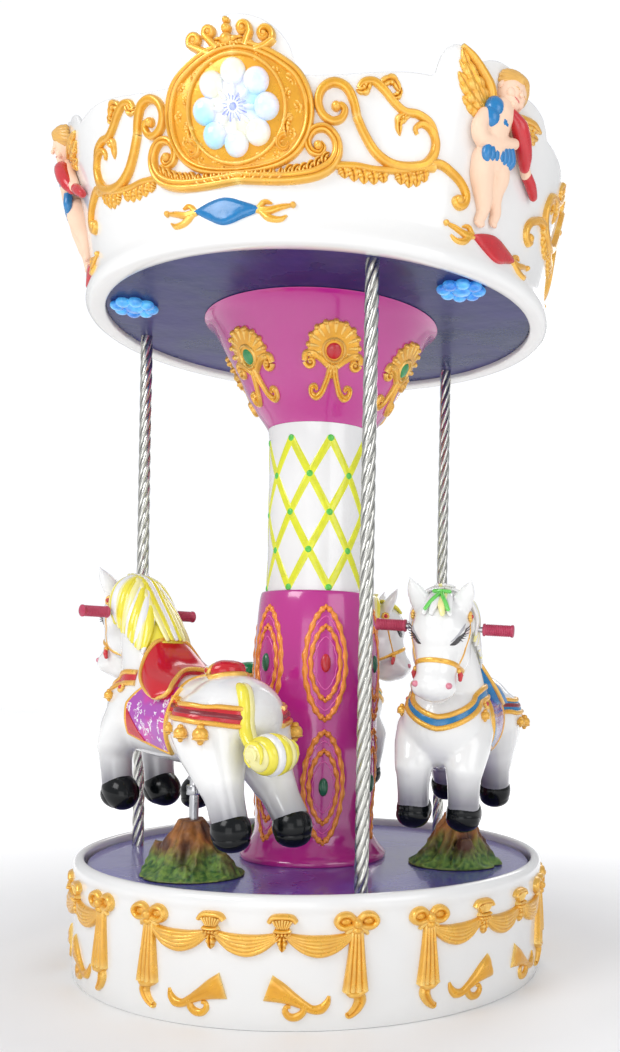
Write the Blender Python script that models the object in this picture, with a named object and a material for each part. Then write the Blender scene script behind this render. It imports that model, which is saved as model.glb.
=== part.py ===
"""A three-horse children's carousel: a fixed drum, and a turning deck, column and crown above it.

Metres, +Z up. The origin is on the floor at the centre of the drum, and one crown medallion faces -Y.
An azimuth is measured at the axis from -Y towards +X, so it grows anticlockwise seen from above.
"""
import math

import bmesh
import bpy
import numpy as np
from mathutils import Matrix, Vector

GAP = 0.0003                    # what touching pieces leave between them

# Drum and turning deck
DRUM_RADIUS = 0.650
DRUM_HEIGHT = 0.306
RIM_RADIUS = 0.652
RIM_FOOT = 0.262               # where the rolled rim leaves the drum's wall
DECK_RADIUS = 0.6165
DECK_TOP = 0.285
DECK_THICKNESS = 0.025
DECK_EDGE_GAP = 0.006
RECESS_FLOOR = 0.240
TURNTABLE_RADIUS = 0.200

# Column, band and flare, one above the other
COLUMN_FOOT_RADIUS = 0.208
COLUMN_RADIUS = 0.176           # at the column's belly
COLUMN_TOP_RADIUS = 0.160
COLUMN_TOP = 1.036
BAND_RADIUS = 0.143
BAND_TOP = 1.497
FLARE_RADIUS = 0.331
CEILING_UNDERSIDE = 1.800
CEILING_RADIUS = 0.594
ROOF_PEAK = 1.870

# Crown
CROWN_WALL = 0.012
VALLEY_TOP = 2.148
ARCH_HEIGHT = 0.128
ARCH_HALF_ANGLE = 12.0
RELIEF_RADIUS = 0.670           # where lengths along the crown are measured
MEDALLION_HEIGHT = 2.075
MEDALLION_HALF_WIDTH = 0.156
MEDALLION_HALF_HEIGHT = 0.140

# Poles, horses and lamps
POLE_CIRCLE = 0.544
POLE_RADIUS = 0.0175
HORSE_CIRCLE = 0.415
POST_RADIUS = 0.012
POST_CLEARANCE = 0.0006
POST_TOP = 0.600
POST_COLLAR = 0.505
BAR_HALF = 0.176
BAR_RADIUS = 0.008
BAR_FORWARD = 0.262
BAR_HEIGHT = 0.962
GRIP_START = 0.098
GRIP_RADIUS = 0.016
CEILING_LAMP_CIRCLE = 0.520
CEILING_LAMP_RADIUS = 0.065
CEILING_LAMP_DEPTH = 0.022
FLOWER_HEIGHT = 2.080
FLOWER_RADIUS = 0.104
FLOWER_DEPTH = 0.040

MEDALLIONS = (0.0, 120.0, 240.0)
CHERUBS = (60.0, 180.0, 300.0)
POLES = (30.0, 150.0, 270.0)
HORSES = (-30.0, 90.0, 210.0)
HORSE_PITCH = (0.0, 6.5, 0.0)   # degrees nose down, as the horses stand in the picture
HORSE_LEAN = (0.0, 2.5, 0.0)    # degrees leaning out from the column
SWAG_SETS = tuple(4.7 + 60.0 * k for k in range(6))

STEPS_DRUM = 48
STEPS_CROWN = 72
STEPS_COLUMN = 32
STEPS_SMALL = 12

WHITE = (0.86, 0.86, 0.85)
GOLD = (0.80, 0.47, 0.06)
VIOLET = (0.16, 0.14, 0.52)
MAGENTA = (0.56, 0.03, 0.33)
NAVY = (0.03, 0.04, 0.20)
STEEL = (0.62, 0.62, 0.60)
BROWN = (0.22, 0.10, 0.05)
PALE_LAMP = (0.80, 0.93, 0.80)
CYAN_LAMP = (0.15, 0.62, 0.90)
FLESH = (0.86, 0.56, 0.40)
SADDLE_COLOURS = ((0.60, 0.02, 0.03), (0.01, 0.17, 0.45), (0.02, 0.30, 0.10))


def clear_scene():
    for item in list(bpy.data.objects):
        bpy.data.objects.remove(item, do_unlink=True)


def finish(name, colour, roughness, metallic=0.0):
    material = bpy.data.materials.new(name)
    material.use_nodes = True
    shader = material.node_tree.nodes["Principled BSDF"]
    shader.inputs["Base Color"].default_value = (*colour, 1.0)
    shader.inputs["Roughness"].default_value = roughness
    shader.inputs["Metallic"].default_value = metallic
    return material


def place(name, mesh, material=None, parent=None):
    thing = bpy.data.objects.new(name, mesh)
    bpy.context.scene.collection.objects.link(thing)
    if material is not None:
        if len(mesh.materials) == 0:
            mesh.materials.append(material)
        thing.material_slots[0].link = "OBJECT"
        thing.material_slots[0].material = material
    thing.parent = parent
    return thing


def cutter(thing):
    thing.hide_render = True
    thing.display_type = "WIRE"
    return thing


def cut(thing, tool, operation="DIFFERENCE"):
    change = thing.modifiers.new("Cut", "BOOLEAN")
    change.operation = operation
    change.solver = "EXACT"
    change.object = tool


def polar(radius, azimuth, height=0.0):
    turn = math.radians(azimuth)
    return Vector((radius * math.sin(turn), -radius * math.cos(turn), height))


def turned(name, profile, steps, material=None, parent=None):
    """A solid of revolution; the profile runs down its outer side, from the axis to the axis."""
    mesh = bpy.data.meshes.new(name)
    corners = [(radius, 0.0, height) for radius, height in profile]
    mesh.from_pydata(corners, [(i, i + 1) for i in range(len(corners) - 1)], [])
    thing = place(name, mesh, material, parent)
    screw = thing.modifiers.new("Turn", "SCREW")
    screw.steps = steps
    screw.render_steps = steps
    screw.use_merge_vertices = True
    screw.merge_threshold = 0.00005
    screw.use_smooth_shade = True
    return thing


def ball(mesh, centre, radius, squash=(1.0, 1.0, 1.0), turn=None, segments=12):
    shape = Matrix.Translation(centre)
    if turn is not None:
        shape = shape @ turn.to_4x4()
    shape = shape @ Matrix.Diagonal((*squash, 1.0))
    bmesh.ops.create_uvsphere(mesh, u_segments=segments, v_segments=segments // 2 + 1,
                              radius=radius, matrix=shape)


def limb(mesh, start, end, start_radius, end_radius, segments=12):
    """A tapered rod with round ends."""
    start = Vector(start)
    end = Vector(end)
    along = end - start
    ball(mesh, start, start_radius, segments=segments)
    ball(mesh, end, end_radius, segments=segments)
    shape = Matrix.Translation((start + end) / 2) @ along.to_track_quat("Z", "Y").to_matrix().to_4x4()
    bmesh.ops.create_cone(mesh, cap_ends=True, segments=segments, radius1=start_radius,
                          radius2=end_radius, depth=along.length, matrix=shape)


def smooth_path(points, count):
    """Points on a smooth curve through the given ones, which may hold any number of values."""
    points = [Vector(point) for point in points]
    padded = [2 * points[0] - points[1], *points, 2 * points[-1] - points[-2]]
    path = []
    for span in range(len(points) - 1):
        a, b, c, d = padded[span:span + 4]
        for step in range(count):
            t = step / count
            path.append(0.5 * ((2 * b) + (c - a) * t + (2 * a - 5 * b + 4 * c - d) * t * t
                               + (3 * b - a - 3 * c + d) * t ** 3))
    path.append(points[-1])
    return path


def stored(name, mesh):
    data = bpy.data.meshes.new(name)
    mesh.to_mesh(data)
    mesh.free()
    return data


def fused(name, data, voxel, smoothing, keep, material=None, parent=None):
    """The overlapping shapes of a mesh as one closed skin."""
    thing = place(name, data, material, parent)
    skin = thing.modifiers.new("Fuse", "REMESH")
    skin.mode = "VOXEL"
    skin.voxel_size = voxel
    soften = thing.modifiers.new("Soften", "SMOOTH")
    soften.factor = 0.5
    soften.iterations = smoothing
    fewer = thing.modifiers.new("Fewer faces", "DECIMATE")
    fewer.ratio = keep
    return thing


def copy_modifiers(source, target):
    for old in source.modifiers:
        new = target.modifiers.new(old.name, old.type)
        for setting in old.bl_rna.properties:
            if not setting.is_readonly and setting.identifier != "name":
                setattr(new, setting.identifier, getattr(old, setting.identifier))


def build_drum():
    recess_radius = DECK_RADIUS + DECK_EDGE_GAP
    profile = [(0.0, DECK_TOP - DECK_THICKNESS - GAP),
               (TURNTABLE_RADIUS, DECK_TOP - DECK_THICKNESS - GAP),
               (TURNTABLE_RADIUS, RECESS_FLOOR), (recess_radius, RECESS_FLOOR),
               (recess_radius, DRUM_HEIGHT - 0.008), (recess_radius + 0.006, DRUM_HEIGHT),
               (0.638, DRUM_HEIGHT - 0.001), (0.648, DRUM_HEIGHT - 0.010), (RIM_RADIUS, 0.280),
               (DRUM_RADIUS, RIM_FOOT), (DRUM_RADIUS, 0.0), (0.0, 0.0)]
    turned("base_drum", profile, STEPS_DRUM, finish("drum_white", WHITE, 0.25))


def swag_shapes():
    """Three swags between two drops, with knots between them, round azimuth 0."""
    mesh = bmesh.new()
    drop_angle = 22.1
    knot_angle = 7.3
    top = 0.258
    low = 0.168
    count = 6
    for first, last in ((-drop_angle, -knot_angle), (-knot_angle, knot_angle), (knot_angle, drop_angle)):
        hang = []
        for step in range(count + 1):
            t = step / count
            sag = 1 - (2 * t - 1) ** 2
            hang.append((first + (last - first) * t, top - (top - low) * sag, 0.012 + 0.014 * sag))
        for (a0, z0, r0), (a1, z1, r1) in zip(hang, hang[1:]):
            limb(mesh, polar(DRUM_RADIUS, a0, z0), polar(DRUM_RADIUS, a1, z1), r0, r1, 8)
    for side in (-1, 1):
        drop = side * drop_angle
        limb(mesh, polar(DRUM_RADIUS, drop, 0.245), polar(DRUM_RADIUS, drop, 0.075), 0.019, 0.025, 8)
        limb(mesh, polar(DRUM_RADIUS, drop, 0.075), polar(DRUM_RADIUS, drop + side, 0.045),
             0.022, 0.012, 8)
        ball(mesh, polar(DRUM_RADIUS - 0.004, drop, 0.258), 0.027)
        ball(mesh, polar(DRUM_RADIUS - 0.004, side * knot_angle, 0.250), 0.022)
    return mesh


def build_swags():
    gilt = finish("swag_gold", GOLD, 0.35, 0.6)
    wall = cutter(turned("drum_skin", [(0.0, 0.4), (RIM_RADIUS + 2 * GAP, 0.4),
                                       (RIM_RADIUS + 2 * GAP, 0.279),
                                       (DRUM_RADIUS + 2 * GAP, RIM_FOOT - GAP),
                                       (DRUM_RADIUS + 2 * GAP, -0.1), (0.0, -0.1)], STEPS_DRUM))
    shapes = stored("swag_set", swag_shapes())
    for index, middle in enumerate(SWAG_SETS):
        swag = fused(f"swag_set_{index + 1}", shapes, 0.010, 1, 0.07, gilt)
        swag.rotation_euler = (0.0, 0.0, math.radians(middle))
        cut(swag, wall)


def build_deck():
    profile = [(0.0, DECK_TOP), (DECK_RADIUS - 0.004, DECK_TOP), (DECK_RADIUS, DECK_TOP - 0.004),
               (DECK_RADIUS, DECK_TOP - DECK_THICKNESS), (0.0, DECK_TOP - DECK_THICKNESS)]
    turned("deck", profile, STEPS_DRUM, finish("deck_violet", VIOLET, 0.15))


def build_column():
    paint = finish("column_magenta", MAGENTA, 0.18)
    foot = DECK_TOP + GAP
    lower = [(0.0, COLUMN_TOP), (COLUMN_TOP_RADIUS - 0.008, COLUMN_TOP),
             (COLUMN_TOP_RADIUS, COLUMN_TOP - 0.006),
             (0.170, 0.930), (COLUMN_RADIUS, 0.830), (COLUMN_RADIUS, 0.700), (0.173, 0.550),
             (0.166, 0.420), (0.167, 0.380), (0.178, 0.335), (0.205, 0.300),
             (COLUMN_FOOT_RADIUS, foot + 0.004), (COLUMN_FOOT_RADIUS, foot), (0.0, foot)]
    turned("column_lower", lower, STEPS_COLUMN, paint)
    band_foot = COLUMN_TOP + GAP
    band = [(0.0, BAND_TOP), (BAND_RADIUS + 0.005, BAND_TOP), (BAND_RADIUS, 1.450), (BAND_RADIUS, 1.100),
            (BAND_RADIUS + 0.003, band_foot), (0.0, band_foot)]
    turned("column_band", band, STEPS_COLUMN, finish("band_white", WHITE, 0.25))
    flare_foot = BAND_TOP + GAP
    flare_top = CEILING_UNDERSIDE - GAP
    flare = [(0.0, flare_top), (FLARE_RADIUS, flare_top), (FLARE_RADIUS, flare_top - 0.006), (0.305, 1.770),
             (0.270, 1.715), (0.245, 1.665), (0.220, 1.615), (0.200, 1.575), (0.172, 1.530),
             (0.150, flare_foot), (0.0, flare_foot)]
    turned("column_flare", flare, STEPS_COLUMN, paint)


def build_ceiling():
    profile = [(0.0, ROOF_PEAK), (0.300, 1.850), (CEILING_RADIUS, 1.818),
               (CEILING_RADIUS, CEILING_UNDERSIDE), (0.0, CEILING_UNDERSIDE)]
    turned("ceiling", profile, STEPS_CROWN, finish("ceiling_navy", NAVY, 0.08))


def crown_radius(height):
    """The crown's outer radius: a rolled lip, a neck, and a wall that leans out."""
    heights = (1.784, 1.792, 1.802, 1.822, 1.850, 1.900, 1.980, 2.060, 2.130, 2.200, 2.320)
    radii = (0.628, 0.641, 0.646, 0.642, 0.633, 0.634, 0.645, 0.660, 0.675, 0.688, 0.705)
    return float(np.interp(height, heights, radii))


def arch(offset, half_angle, height):
    inside = 1 - (offset / half_angle) ** 2
    return height * math.sqrt(inside) if inside > 0 else 0.0


def crown_top(azimuth):
    """The wavy top edge: an arch behind each medallion, and lower ones around each cherub."""
    offset = (azimuth + 60.0) % 120.0 - 60.0
    rise = max(0.0, min(1.0, (abs(offset) - 14.0) / 26.0))
    side = (azimuth % 120.0) - 60.0
    bumps = (arch(offset, ARCH_HALF_ANGLE, ARCH_HEIGHT), arch(side + 16.0, 5.0, 0.085),
             arch(side + 5.0, 9.0, 0.090), arch(side - 4.0, 9.0, 0.050))
    return VALLEY_TOP + 0.042 * rise * rise * (3 - 2 * rise) + max(bumps)


def crown_mesh(name, inner_radius=None, swell=0.0):
    """The crown as a closed ring, or filled in to an inner radius, for cutting its neighbours clear."""
    inner_lip = CEILING_RADIUS + GAP
    low_rows = (1.790, 1.802, 1.850, 1.900)
    upper_shares = (0.5, 1.0)
    rings = []
    for step in range(STEPS_CROWN):
        azimuth = 360.0 * step / STEPS_CROWN
        top = crown_top(azimuth)
        upper = [1.9 + (top - 1.9) * share for share in upper_shares]
        outer = [(crown_radius(z) + swell, z) for z in (*low_rows, *upper)]
        outer[-1] = (outer[-1][0], top + swell)
        inner = [(crown_radius(z) - CROWN_WALL, z) for z in (top, 1.850)]
        lip = [(inner_lip, 1.818), (inner_lip, 1.788), (0.628, 1.784)]
        if inner_radius is not None:
            inner = [(inner_radius, top + swell)]
            lip = [(inner_radius, 1.784 - swell), (0.628, 1.784 - swell)]
        rings.append([polar(radius, azimuth, z) for radius, z in (*outer, *inner, *lip)])
    rows = len(rings[0])
    points = [point for ring in rings for point in ring]
    faces = []
    for step in range(STEPS_CROWN):
        following = (step + 1) % STEPS_CROWN
        for row in range(rows):
            above = (row + 1) % rows
            faces.append((step * rows + row, following * rows + row, following * rows + above))
            faces.append((step * rows + row, following * rows + above, step * rows + above))
    data = bpy.data.meshes.new(name)
    data.from_pydata(points, [], faces)
    return data


def build_crown():
    place("crown_wall", crown_mesh("crown_wall"), finish("crown_white", WHITE, 0.25))
    return cutter(place("crown_skin", crown_mesh("crown_skin", 0.3, GAP)))


def on_crown(along, height, proud=0.0):
    """The point at a length along the crown from azimuth 0, and at a height."""
    return polar(crown_radius(height) + proud, math.degrees(along / RELIEF_RADIUS), height)


def crown_stroke(mesh, path, radius):
    """A raised moulding along (length, height) points, standing 0.3 of its radius off."""
    spots = [on_crown(*point, 0.3 * radius) for point in path]
    for start, end in zip(spots, spots[1:]):
        limb(mesh, start, end, radius, radius, 8)


def medallion_shapes():
    """A ring with a crest, a base bar and a scroll and leaf chain on either side."""
    mesh = bmesh.new()
    ring = []
    for step in range(25):
        turn = 2 * math.pi * step / 24
        ring.append((MEDALLION_HALF_WIDTH * math.cos(turn),
                     MEDALLION_HEIGHT + MEDALLION_HALF_HEIGHT * math.sin(turn)))
    crown_stroke(mesh, ring, 0.019)
    for along, height, radius in ((0.0, 2.236, 0.026), (0.048, 2.228, 0.024), (0.086, 2.204, 0.022)):
        for side in (-1, 1):
            ball(mesh, on_crown(side * along, height), radius)
    crown_stroke(mesh, [(-0.135, 1.932), (0.0, 1.928), (0.135, 1.932)], 0.017)
    sweep = ((0.226, 2.061), (0.191, 2.084), (0.223, 2.131), (0.264, 2.105), (0.281, 2.052),
             (0.316, 1.998), (0.373, 1.975), (0.433, 1.980), (0.472, 2.020), (0.465, 2.078),
             (0.424, 2.097), (0.388, 2.094), (0.361, 2.120), (0.320, 2.150), (0.283, 2.130))
    chain = ((0.130, 1.932), (0.207, 1.951), (0.312, 1.968), (0.400, 1.972), (0.469, 1.990),
             (0.530, 1.988), (0.572, 1.962), (0.566, 1.935))
    for side in (-1, 1):
        ball(mesh, on_crown(side * 0.188, 2.020), 0.040)
        crown_stroke(mesh, [(side * u, z) for u, z in smooth_path(sweep, 2)], 0.015)
        crown_stroke(mesh, [(side * u, z) for u, z in smooth_path(chain, 2)], 0.016)
    return mesh


def cherub_shapes():
    """A winged infant in half relief: (length, height, radius) stops along each limb."""
    mesh = bmesh.new()
    limbs = (((-0.040, 2.200, 0.030), (-0.070, 2.140, 0.044), (-0.078, 2.055, 0.042)),
             ((-0.098, 2.045, 0.036), (-0.083, 1.990, 0.030), (-0.074, 1.940, 0.022),
              (-0.084, 1.910, 0.018)),
             ((-0.055, 2.050, 0.036), (-0.021, 2.045, 0.032), (-0.034, 1.985, 0.026),
              (-0.028, 1.928, 0.018)),
             ((-0.115, 2.130, 0.024), (-0.125, 2.096, 0.020), (-0.080, 2.088, 0.018)),
             ((-0.028, 2.150, 0.026), (-0.010, 2.110, 0.020)),
             ((-0.100, 2.150, 0.034), (-0.150, 2.210, 0.034), (-0.184, 2.262, 0.014)),
             ((-0.010, 2.165, 0.030), (0.055, 2.172, 0.032), (0.108, 2.184, 0.014)),
             ((0.020, 2.150, 0.026), (0.086, 2.132, 0.014)),
             ((0.010, 2.120, 0.020), (0.054, 2.080, 0.020), (0.135, 2.046, 0.012)))
    for stops in limbs:
        for (u0, z0, r0), (u1, z1, r1) in zip(stops, stops[1:]):
            limb(mesh, on_crown(u0, z0), on_crown(u1, z1), r0, r1, 10)
    ball(mesh, on_crown(-0.036, 2.216, 0.012), 0.045)
    return mesh


def build_reliefs(crown_skin):
    gilt = finish("relief_gold", GOLD, 0.30, 0.7)
    skin = finish("cherub_flesh", FLESH, 0.4)
    scrollwork = stored("medallion", medallion_shapes())
    for index, middle in enumerate(MEDALLIONS):
        frame = fused(f"medallion_{index + 1}", scrollwork, 0.009, 1, 0.018, gilt)
        frame.rotation_euler = (0.0, 0.0, math.radians(middle))
        cut(frame, crown_skin)
    infant = stored("cherub", cherub_shapes())
    for index, middle in enumerate(CHERUBS):
        figure = fused(f"cherub_{index + 1}", infant, 0.010, 1, 0.08, skin)
        figure.rotation_euler = (0.0, 0.0, math.radians(middle))
        cut(figure, crown_skin)


def flower_mesh(name, radius, depth, petals, lobe):
    """A flat flower: a scalloped front over a smaller back, both round."""
    mesh = bmesh.new()
    sides = petals * 3
    rows = []
    for reach, height in ((0.72, 0.0), (1.0, depth * 0.35), (0.86, depth), (0.35, depth)):
        row = []
        for step in range(sides):
            turn = 2 * math.pi * step / sides
            wave = 1 + lobe * (abs(math.cos(petals * turn / 2)) - 0.5) * (reach > 0.5)
            row.append(mesh.verts.new((radius * reach * wave * math.cos(turn),
                                       radius * reach * wave * math.sin(turn), height)))
        rows.append(row)
    for low, high in zip(rows, rows[1:]):
        for step in range(sides):
            following = (step + 1) % sides
            mesh.faces.new((low[step], low[following], high[following], high[step]))
    mesh.faces.new(list(reversed(rows[0])))
    mesh.faces.new(rows[-1])
    data = bpy.data.meshes.new(name)
    mesh.to_mesh(data)
    mesh.free()
    return data


def build_lamps(crown_skin):
    pale = finish("medallion_lamp", PALE_LAMP, 0.3)
    cyan = finish("ceiling_lamp", CYAN_LAMP, 0.2)
    lean = math.atan2(crown_radius(2.13) - crown_radius(1.98), 0.15)
    medallion_flower = flower_mesh("medallion_flower", FLOWER_RADIUS, FLOWER_DEPTH, 8, 0.16)
    for index, azimuth in enumerate(MEDALLIONS):
        lamp = place(f"medallion_lamp_{index + 1}", medallion_flower, pale)
        lamp.location = polar(crown_radius(FLOWER_HEIGHT) - CROWN_WALL, azimuth, FLOWER_HEIGHT)
        lamp.rotation_euler = (math.pi / 2 + lean, 0.0, math.radians(azimuth))
        cut(lamp, crown_skin)
    ceiling_flower = flower_mesh("ceiling_flower", CEILING_LAMP_RADIUS, CEILING_LAMP_DEPTH, 8, 0.20)
    for index, azimuth in enumerate(CHERUBS):
        lamp = place(f"ceiling_lamp_{index + 1}", ceiling_flower, cyan)
        lamp.location = polar(CEILING_LAMP_CIRCLE, azimuth, CEILING_UNDERSIDE - GAP)
        lamp.rotation_euler = (math.pi, 0.0, math.radians(azimuth))


def build_poles():
    steel = finish("pole_steel", STEEL, 0.2, 1.0)
    for index, azimuth in enumerate(POLES):
        foot = polar(POLE_CIRCLE, azimuth)
        profile = [(0.0, CEILING_UNDERSIDE - GAP), (POLE_RADIUS, CEILING_UNDERSIDE - GAP),
                   (POLE_RADIUS, DECK_TOP + GAP), (0.0, DECK_TOP + GAP)]
        pole = turned(f"pole_{index + 1}", profile, STEPS_SMALL, steel)
        pole.location = foot


def chain(mesh, stops, segments=12):
    """A limb that bends and tapers through (x, y, z, radius) stops."""
    for (*start, start_radius), (*end, end_radius) in zip(stops, stops[1:]):
        limb(mesh, start, end, start_radius, end_radius, segments)


def rock_shapes():
    """A peaked mound with lower lumps round it; the post comes out of its top."""
    mesh = bmesh.new()
    limb(mesh, (0.010, 0.008, 0.300), (0.005, 0.000, 0.402), 0.098, 0.034)
    limb(mesh, (-0.032, 0.010, 0.300), (-0.014, 0.004, 0.396), 0.090, 0.030)
    lumps = ((0.078, 0.034, 0.316, 0.050), (0.060, -0.052, 0.312, 0.054), (-0.080, 0.042, 0.308, 0.052),
             (-0.082, -0.038, 0.303, 0.052), (0.006, 0.072, 0.312, 0.050), (-0.010, -0.074, 0.306, 0.048))
    for x, y, z, radius in lumps:
        ball(mesh, (x, y, z), radius, (1.1, 1.0, 1.1))
    return mesh


def horse_shapes():
    """A plump leaping horse that heads along +X, with its left side at +Y, and z from the floor."""
    mesh = bmesh.new()
    chain(mesh, ((0.190, 0.0, 0.702, 0.118), (0.080, 0.0, 0.688, 0.117), (-0.040, 0.0, 0.681, 0.119),
                 (-0.130, 0.0, 0.688, 0.120)), 20)
    ball(mesh, (-0.160, 0.0, 0.697), 0.134, (0.88, 1.0, 0.81), segments=20)
    chain(mesh, ((0.150, 0.0, 0.760, 0.108), (0.190, 0.0, 0.855, 0.096), (0.262, 0.0, 0.975, 0.085)), 16)
    ball(mesh, (0.292, 0.0, 0.956), 0.091, (1.08, 0.93, 1.0), segments=16)
    chain(mesh, ((0.312, 0.0, 0.936, 0.075), (0.348, 0.0, 0.856, 0.058), (0.356, 0.0, 0.832, 0.056)), 16)
    chain(mesh, ((0.322, 0.0, 1.028, 0.026), (0.262, 0.0, 1.036, 0.032), (0.172, 0.0, 0.984, 0.036),
                 (0.112, 0.0, 0.905, 0.038), (0.092, 0.0, 0.850, 0.034)))
    chain(mesh, ((-0.222, 0.020, 0.762, 0.026), (-0.258, 0.030, 0.705, 0.028), (-0.292, 0.030, 0.640, 0.036)))
    ball(mesh, (-0.338, 0.030, 0.614), 0.060, (1.1, 0.95, 0.95), segments=16)
    toe = Matrix.Rotation(math.radians(-25.0), 3, "Y")
    for side in (-1, 1):
        chain(mesh, ((0.312, side * 0.050, 1.022, 0.030), (0.342, side * 0.078, 1.080, 0.009)))
        chain(mesh, ((0.210, side * 0.068, 0.985, 0.034), (0.176, side * 0.082, 0.905, 0.036),
                     (0.145, side * 0.092, 0.835, 0.028)))
        chain(mesh, ((0.196, side * 0.060, 0.690, 0.068), (0.262, side * 0.067, 0.612, 0.050),
                     (0.262, side * 0.069, 0.570, 0.043), (0.250, side * 0.070, 0.500, 0.041)))
        ball(mesh, (0.240, side * 0.070, 0.482), 0.045, (1.34, 1.0, 0.98), toe)
        back = -0.250 if side > 0 else -0.290
        chain(mesh, ((-0.150, side * 0.067, 0.672, 0.096), (-0.178, side * 0.072, 0.610, 0.082),
                     (-0.215, side * 0.078, 0.540, 0.056), (back, side * 0.078, 0.450, 0.043)))
        ball(mesh, (back - 0.004, side * 0.078, 0.430), 0.049, (1.04, 1.0, 1.0))
    return mesh


def saddle_shapes():
    """A seat between a high rounded front and a rump pad, with an oval flap on either side."""
    mesh = bmesh.new()
    ball(mesh, (-0.025, 0.0, 0.775), 0.085, (1.15, 0.95, 0.60), segments=16)
    ball(mesh, (0.078, 0.0, 0.826), 0.056, (0.85, 1.20, 1.15), segments=14)
    ball(mesh, (-0.140, 0.0, 0.796), 0.062, (1.0, 0.88, 0.65), segments=14)
    for side in (-1, 1):
        tilt = Matrix.Rotation(side * math.radians(24.0), 3, "X")
        ball(mesh, (0.000, side * 0.103, 0.800), 0.082, (1.08, 0.33, 0.95), tilt, 16)
    return mesh


def build_horses():
    mound = stored("rock", rock_shapes())
    animal = stored("horse", horse_shapes())
    seat = stored("saddle", saddle_shapes())
    rock_brown = finish("rock_brown", BROWN, 0.7)
    coat = finish("horse_white", WHITE, 0.12)
    steel = finish("post_steel", STEEL, 0.3, 1.0)
    grip_red = finish("grip_red", (0.45, 0.02, 0.08), 0.4)
    slab = bmesh.new()
    bmesh.ops.create_cube(slab, size=2.0, matrix=Matrix.Translation((0.0, 0.0, DECK_TOP + GAP - 1.0)))
    below = cutter(place("below_deck", stored("below_deck", slab)))
    for index, azimuth in enumerate(HORSES):
        number = index + 1
        stand = bpy.data.objects.new(f"horse_{number}_stand", None)
        bpy.context.scene.collection.objects.link(stand)
        stand.location = polar(HORSE_CIRCLE, azimuth)
        stand.rotation_euler = (0.0, 0.0, math.radians(azimuth + 180.0))
        pitch = bpy.data.objects.new(f"horse_{number}_pitch", None)
        bpy.context.scene.collection.objects.link(pitch)
        pitch.parent = stand
        turn = (Matrix.Rotation(math.radians(HORSE_PITCH[index]), 4, "Y")
                @ Matrix.Rotation(math.radians(-HORSE_LEAN[index]), 4, "X"))
        lift = Matrix.Translation((0.0, 0.0, POST_TOP))
        pitch.matrix_local = lift @ turn @ lift.inverted()

        bore = cutter(turned(f"post_bore_{number}",
                             [(0.0, POST_TOP + GAP), (POST_RADIUS + POST_CLEARANCE, POST_TOP + GAP),
                              (POST_RADIUS + POST_CLEARANCE, 0.2), (0.0, 0.2)],
                             STEPS_SMALL, parent=stand))
        rock = fused(f"rock_{number}", mound, 0.012, 2, 0.06, rock_brown, stand)
        cut(rock, below)
        cut(rock, bore)

        bar_hole = cutter(turned(f"bar_hole_{number}",
                                 [(0.0, 0.15), (BAR_RADIUS + GAP, 0.15),
                                  (BAR_RADIUS + GAP, -0.15), (0.0, -0.15)], STEPS_SMALL, parent=pitch))
        bar_hole.location = (BAR_FORWARD, 0.0, BAR_HEIGHT)
        bar_hole.rotation_euler = (math.pi / 2, 0.0, 0.0)
        body = fused(f"horse_{number}_body", animal, 0.010, 4, 0.040, coat, pitch)
        swollen = cutter(place(f"horse_{number}_skin", animal, parent=pitch))
        copy_modifiers(body, swollen)
        swell = swollen.modifiers.new("Swell", "DISPLACE")
        swell.strength = 2 * GAP
        swell.mid_level = 0.0
        cut(body, bore)
        cut(body, bar_hole)

        leather = finish(f"saddle_{number}", SADDLE_COLOURS[index], 0.2)
        saddle = fused(f"horse_{number}_saddle", seat, 0.010, 3, 0.05, leather, pitch)
        cut(saddle, swollen)

        bar = turned(f"horse_{number}_handlebar",
                     [(0.0, BAR_HALF), (GRIP_RADIUS, BAR_HALF), (GRIP_RADIUS, GRIP_START),
                      (BAR_RADIUS, GRIP_START), (BAR_RADIUS, -GRIP_START), (GRIP_RADIUS, -GRIP_START),
                      (GRIP_RADIUS, -BAR_HALF), (0.0, -BAR_HALF)], STEPS_SMALL, grip_red, pitch)
        bar.location = (BAR_FORWARD, 0.0, BAR_HEIGHT)
        bar.rotation_euler = (math.pi / 2, 0.0, 0.0)

        collar = POST_RADIUS + 0.008
        turned(f"horse_{number}_post",
               [(0.0, POST_TOP), (POST_RADIUS, POST_TOP), (POST_RADIUS, POST_COLLAR + 0.012),
                (collar, POST_COLLAR + 0.010), (collar, POST_COLLAR - 0.012),
                (POST_RADIUS, POST_COLLAR - 0.014), (POST_RADIUS, DECK_TOP + 0.045),
                (0.0, DECK_TOP + 0.045)], STEPS_SMALL, steel, stand)


def main():
    clear_scene()
    build_drum()
    build_swags()
    build_deck()
    build_column()
    build_ceiling()
    crown_skin = build_crown()
    build_reliefs(crown_skin)
    build_lamps(crown_skin)
    build_poles()
    build_horses()


main()
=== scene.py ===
import math

import bmesh
import bpy
import numpy as np
from bpy.props import FloatProperty, FloatVectorProperty, IntProperty, PointerProperty
from bpy.types import Operator, Panel, PropertyGroup
from mathutils import Matrix, Vector, noise
from mathutils.bvhtree import BVHTree


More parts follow.
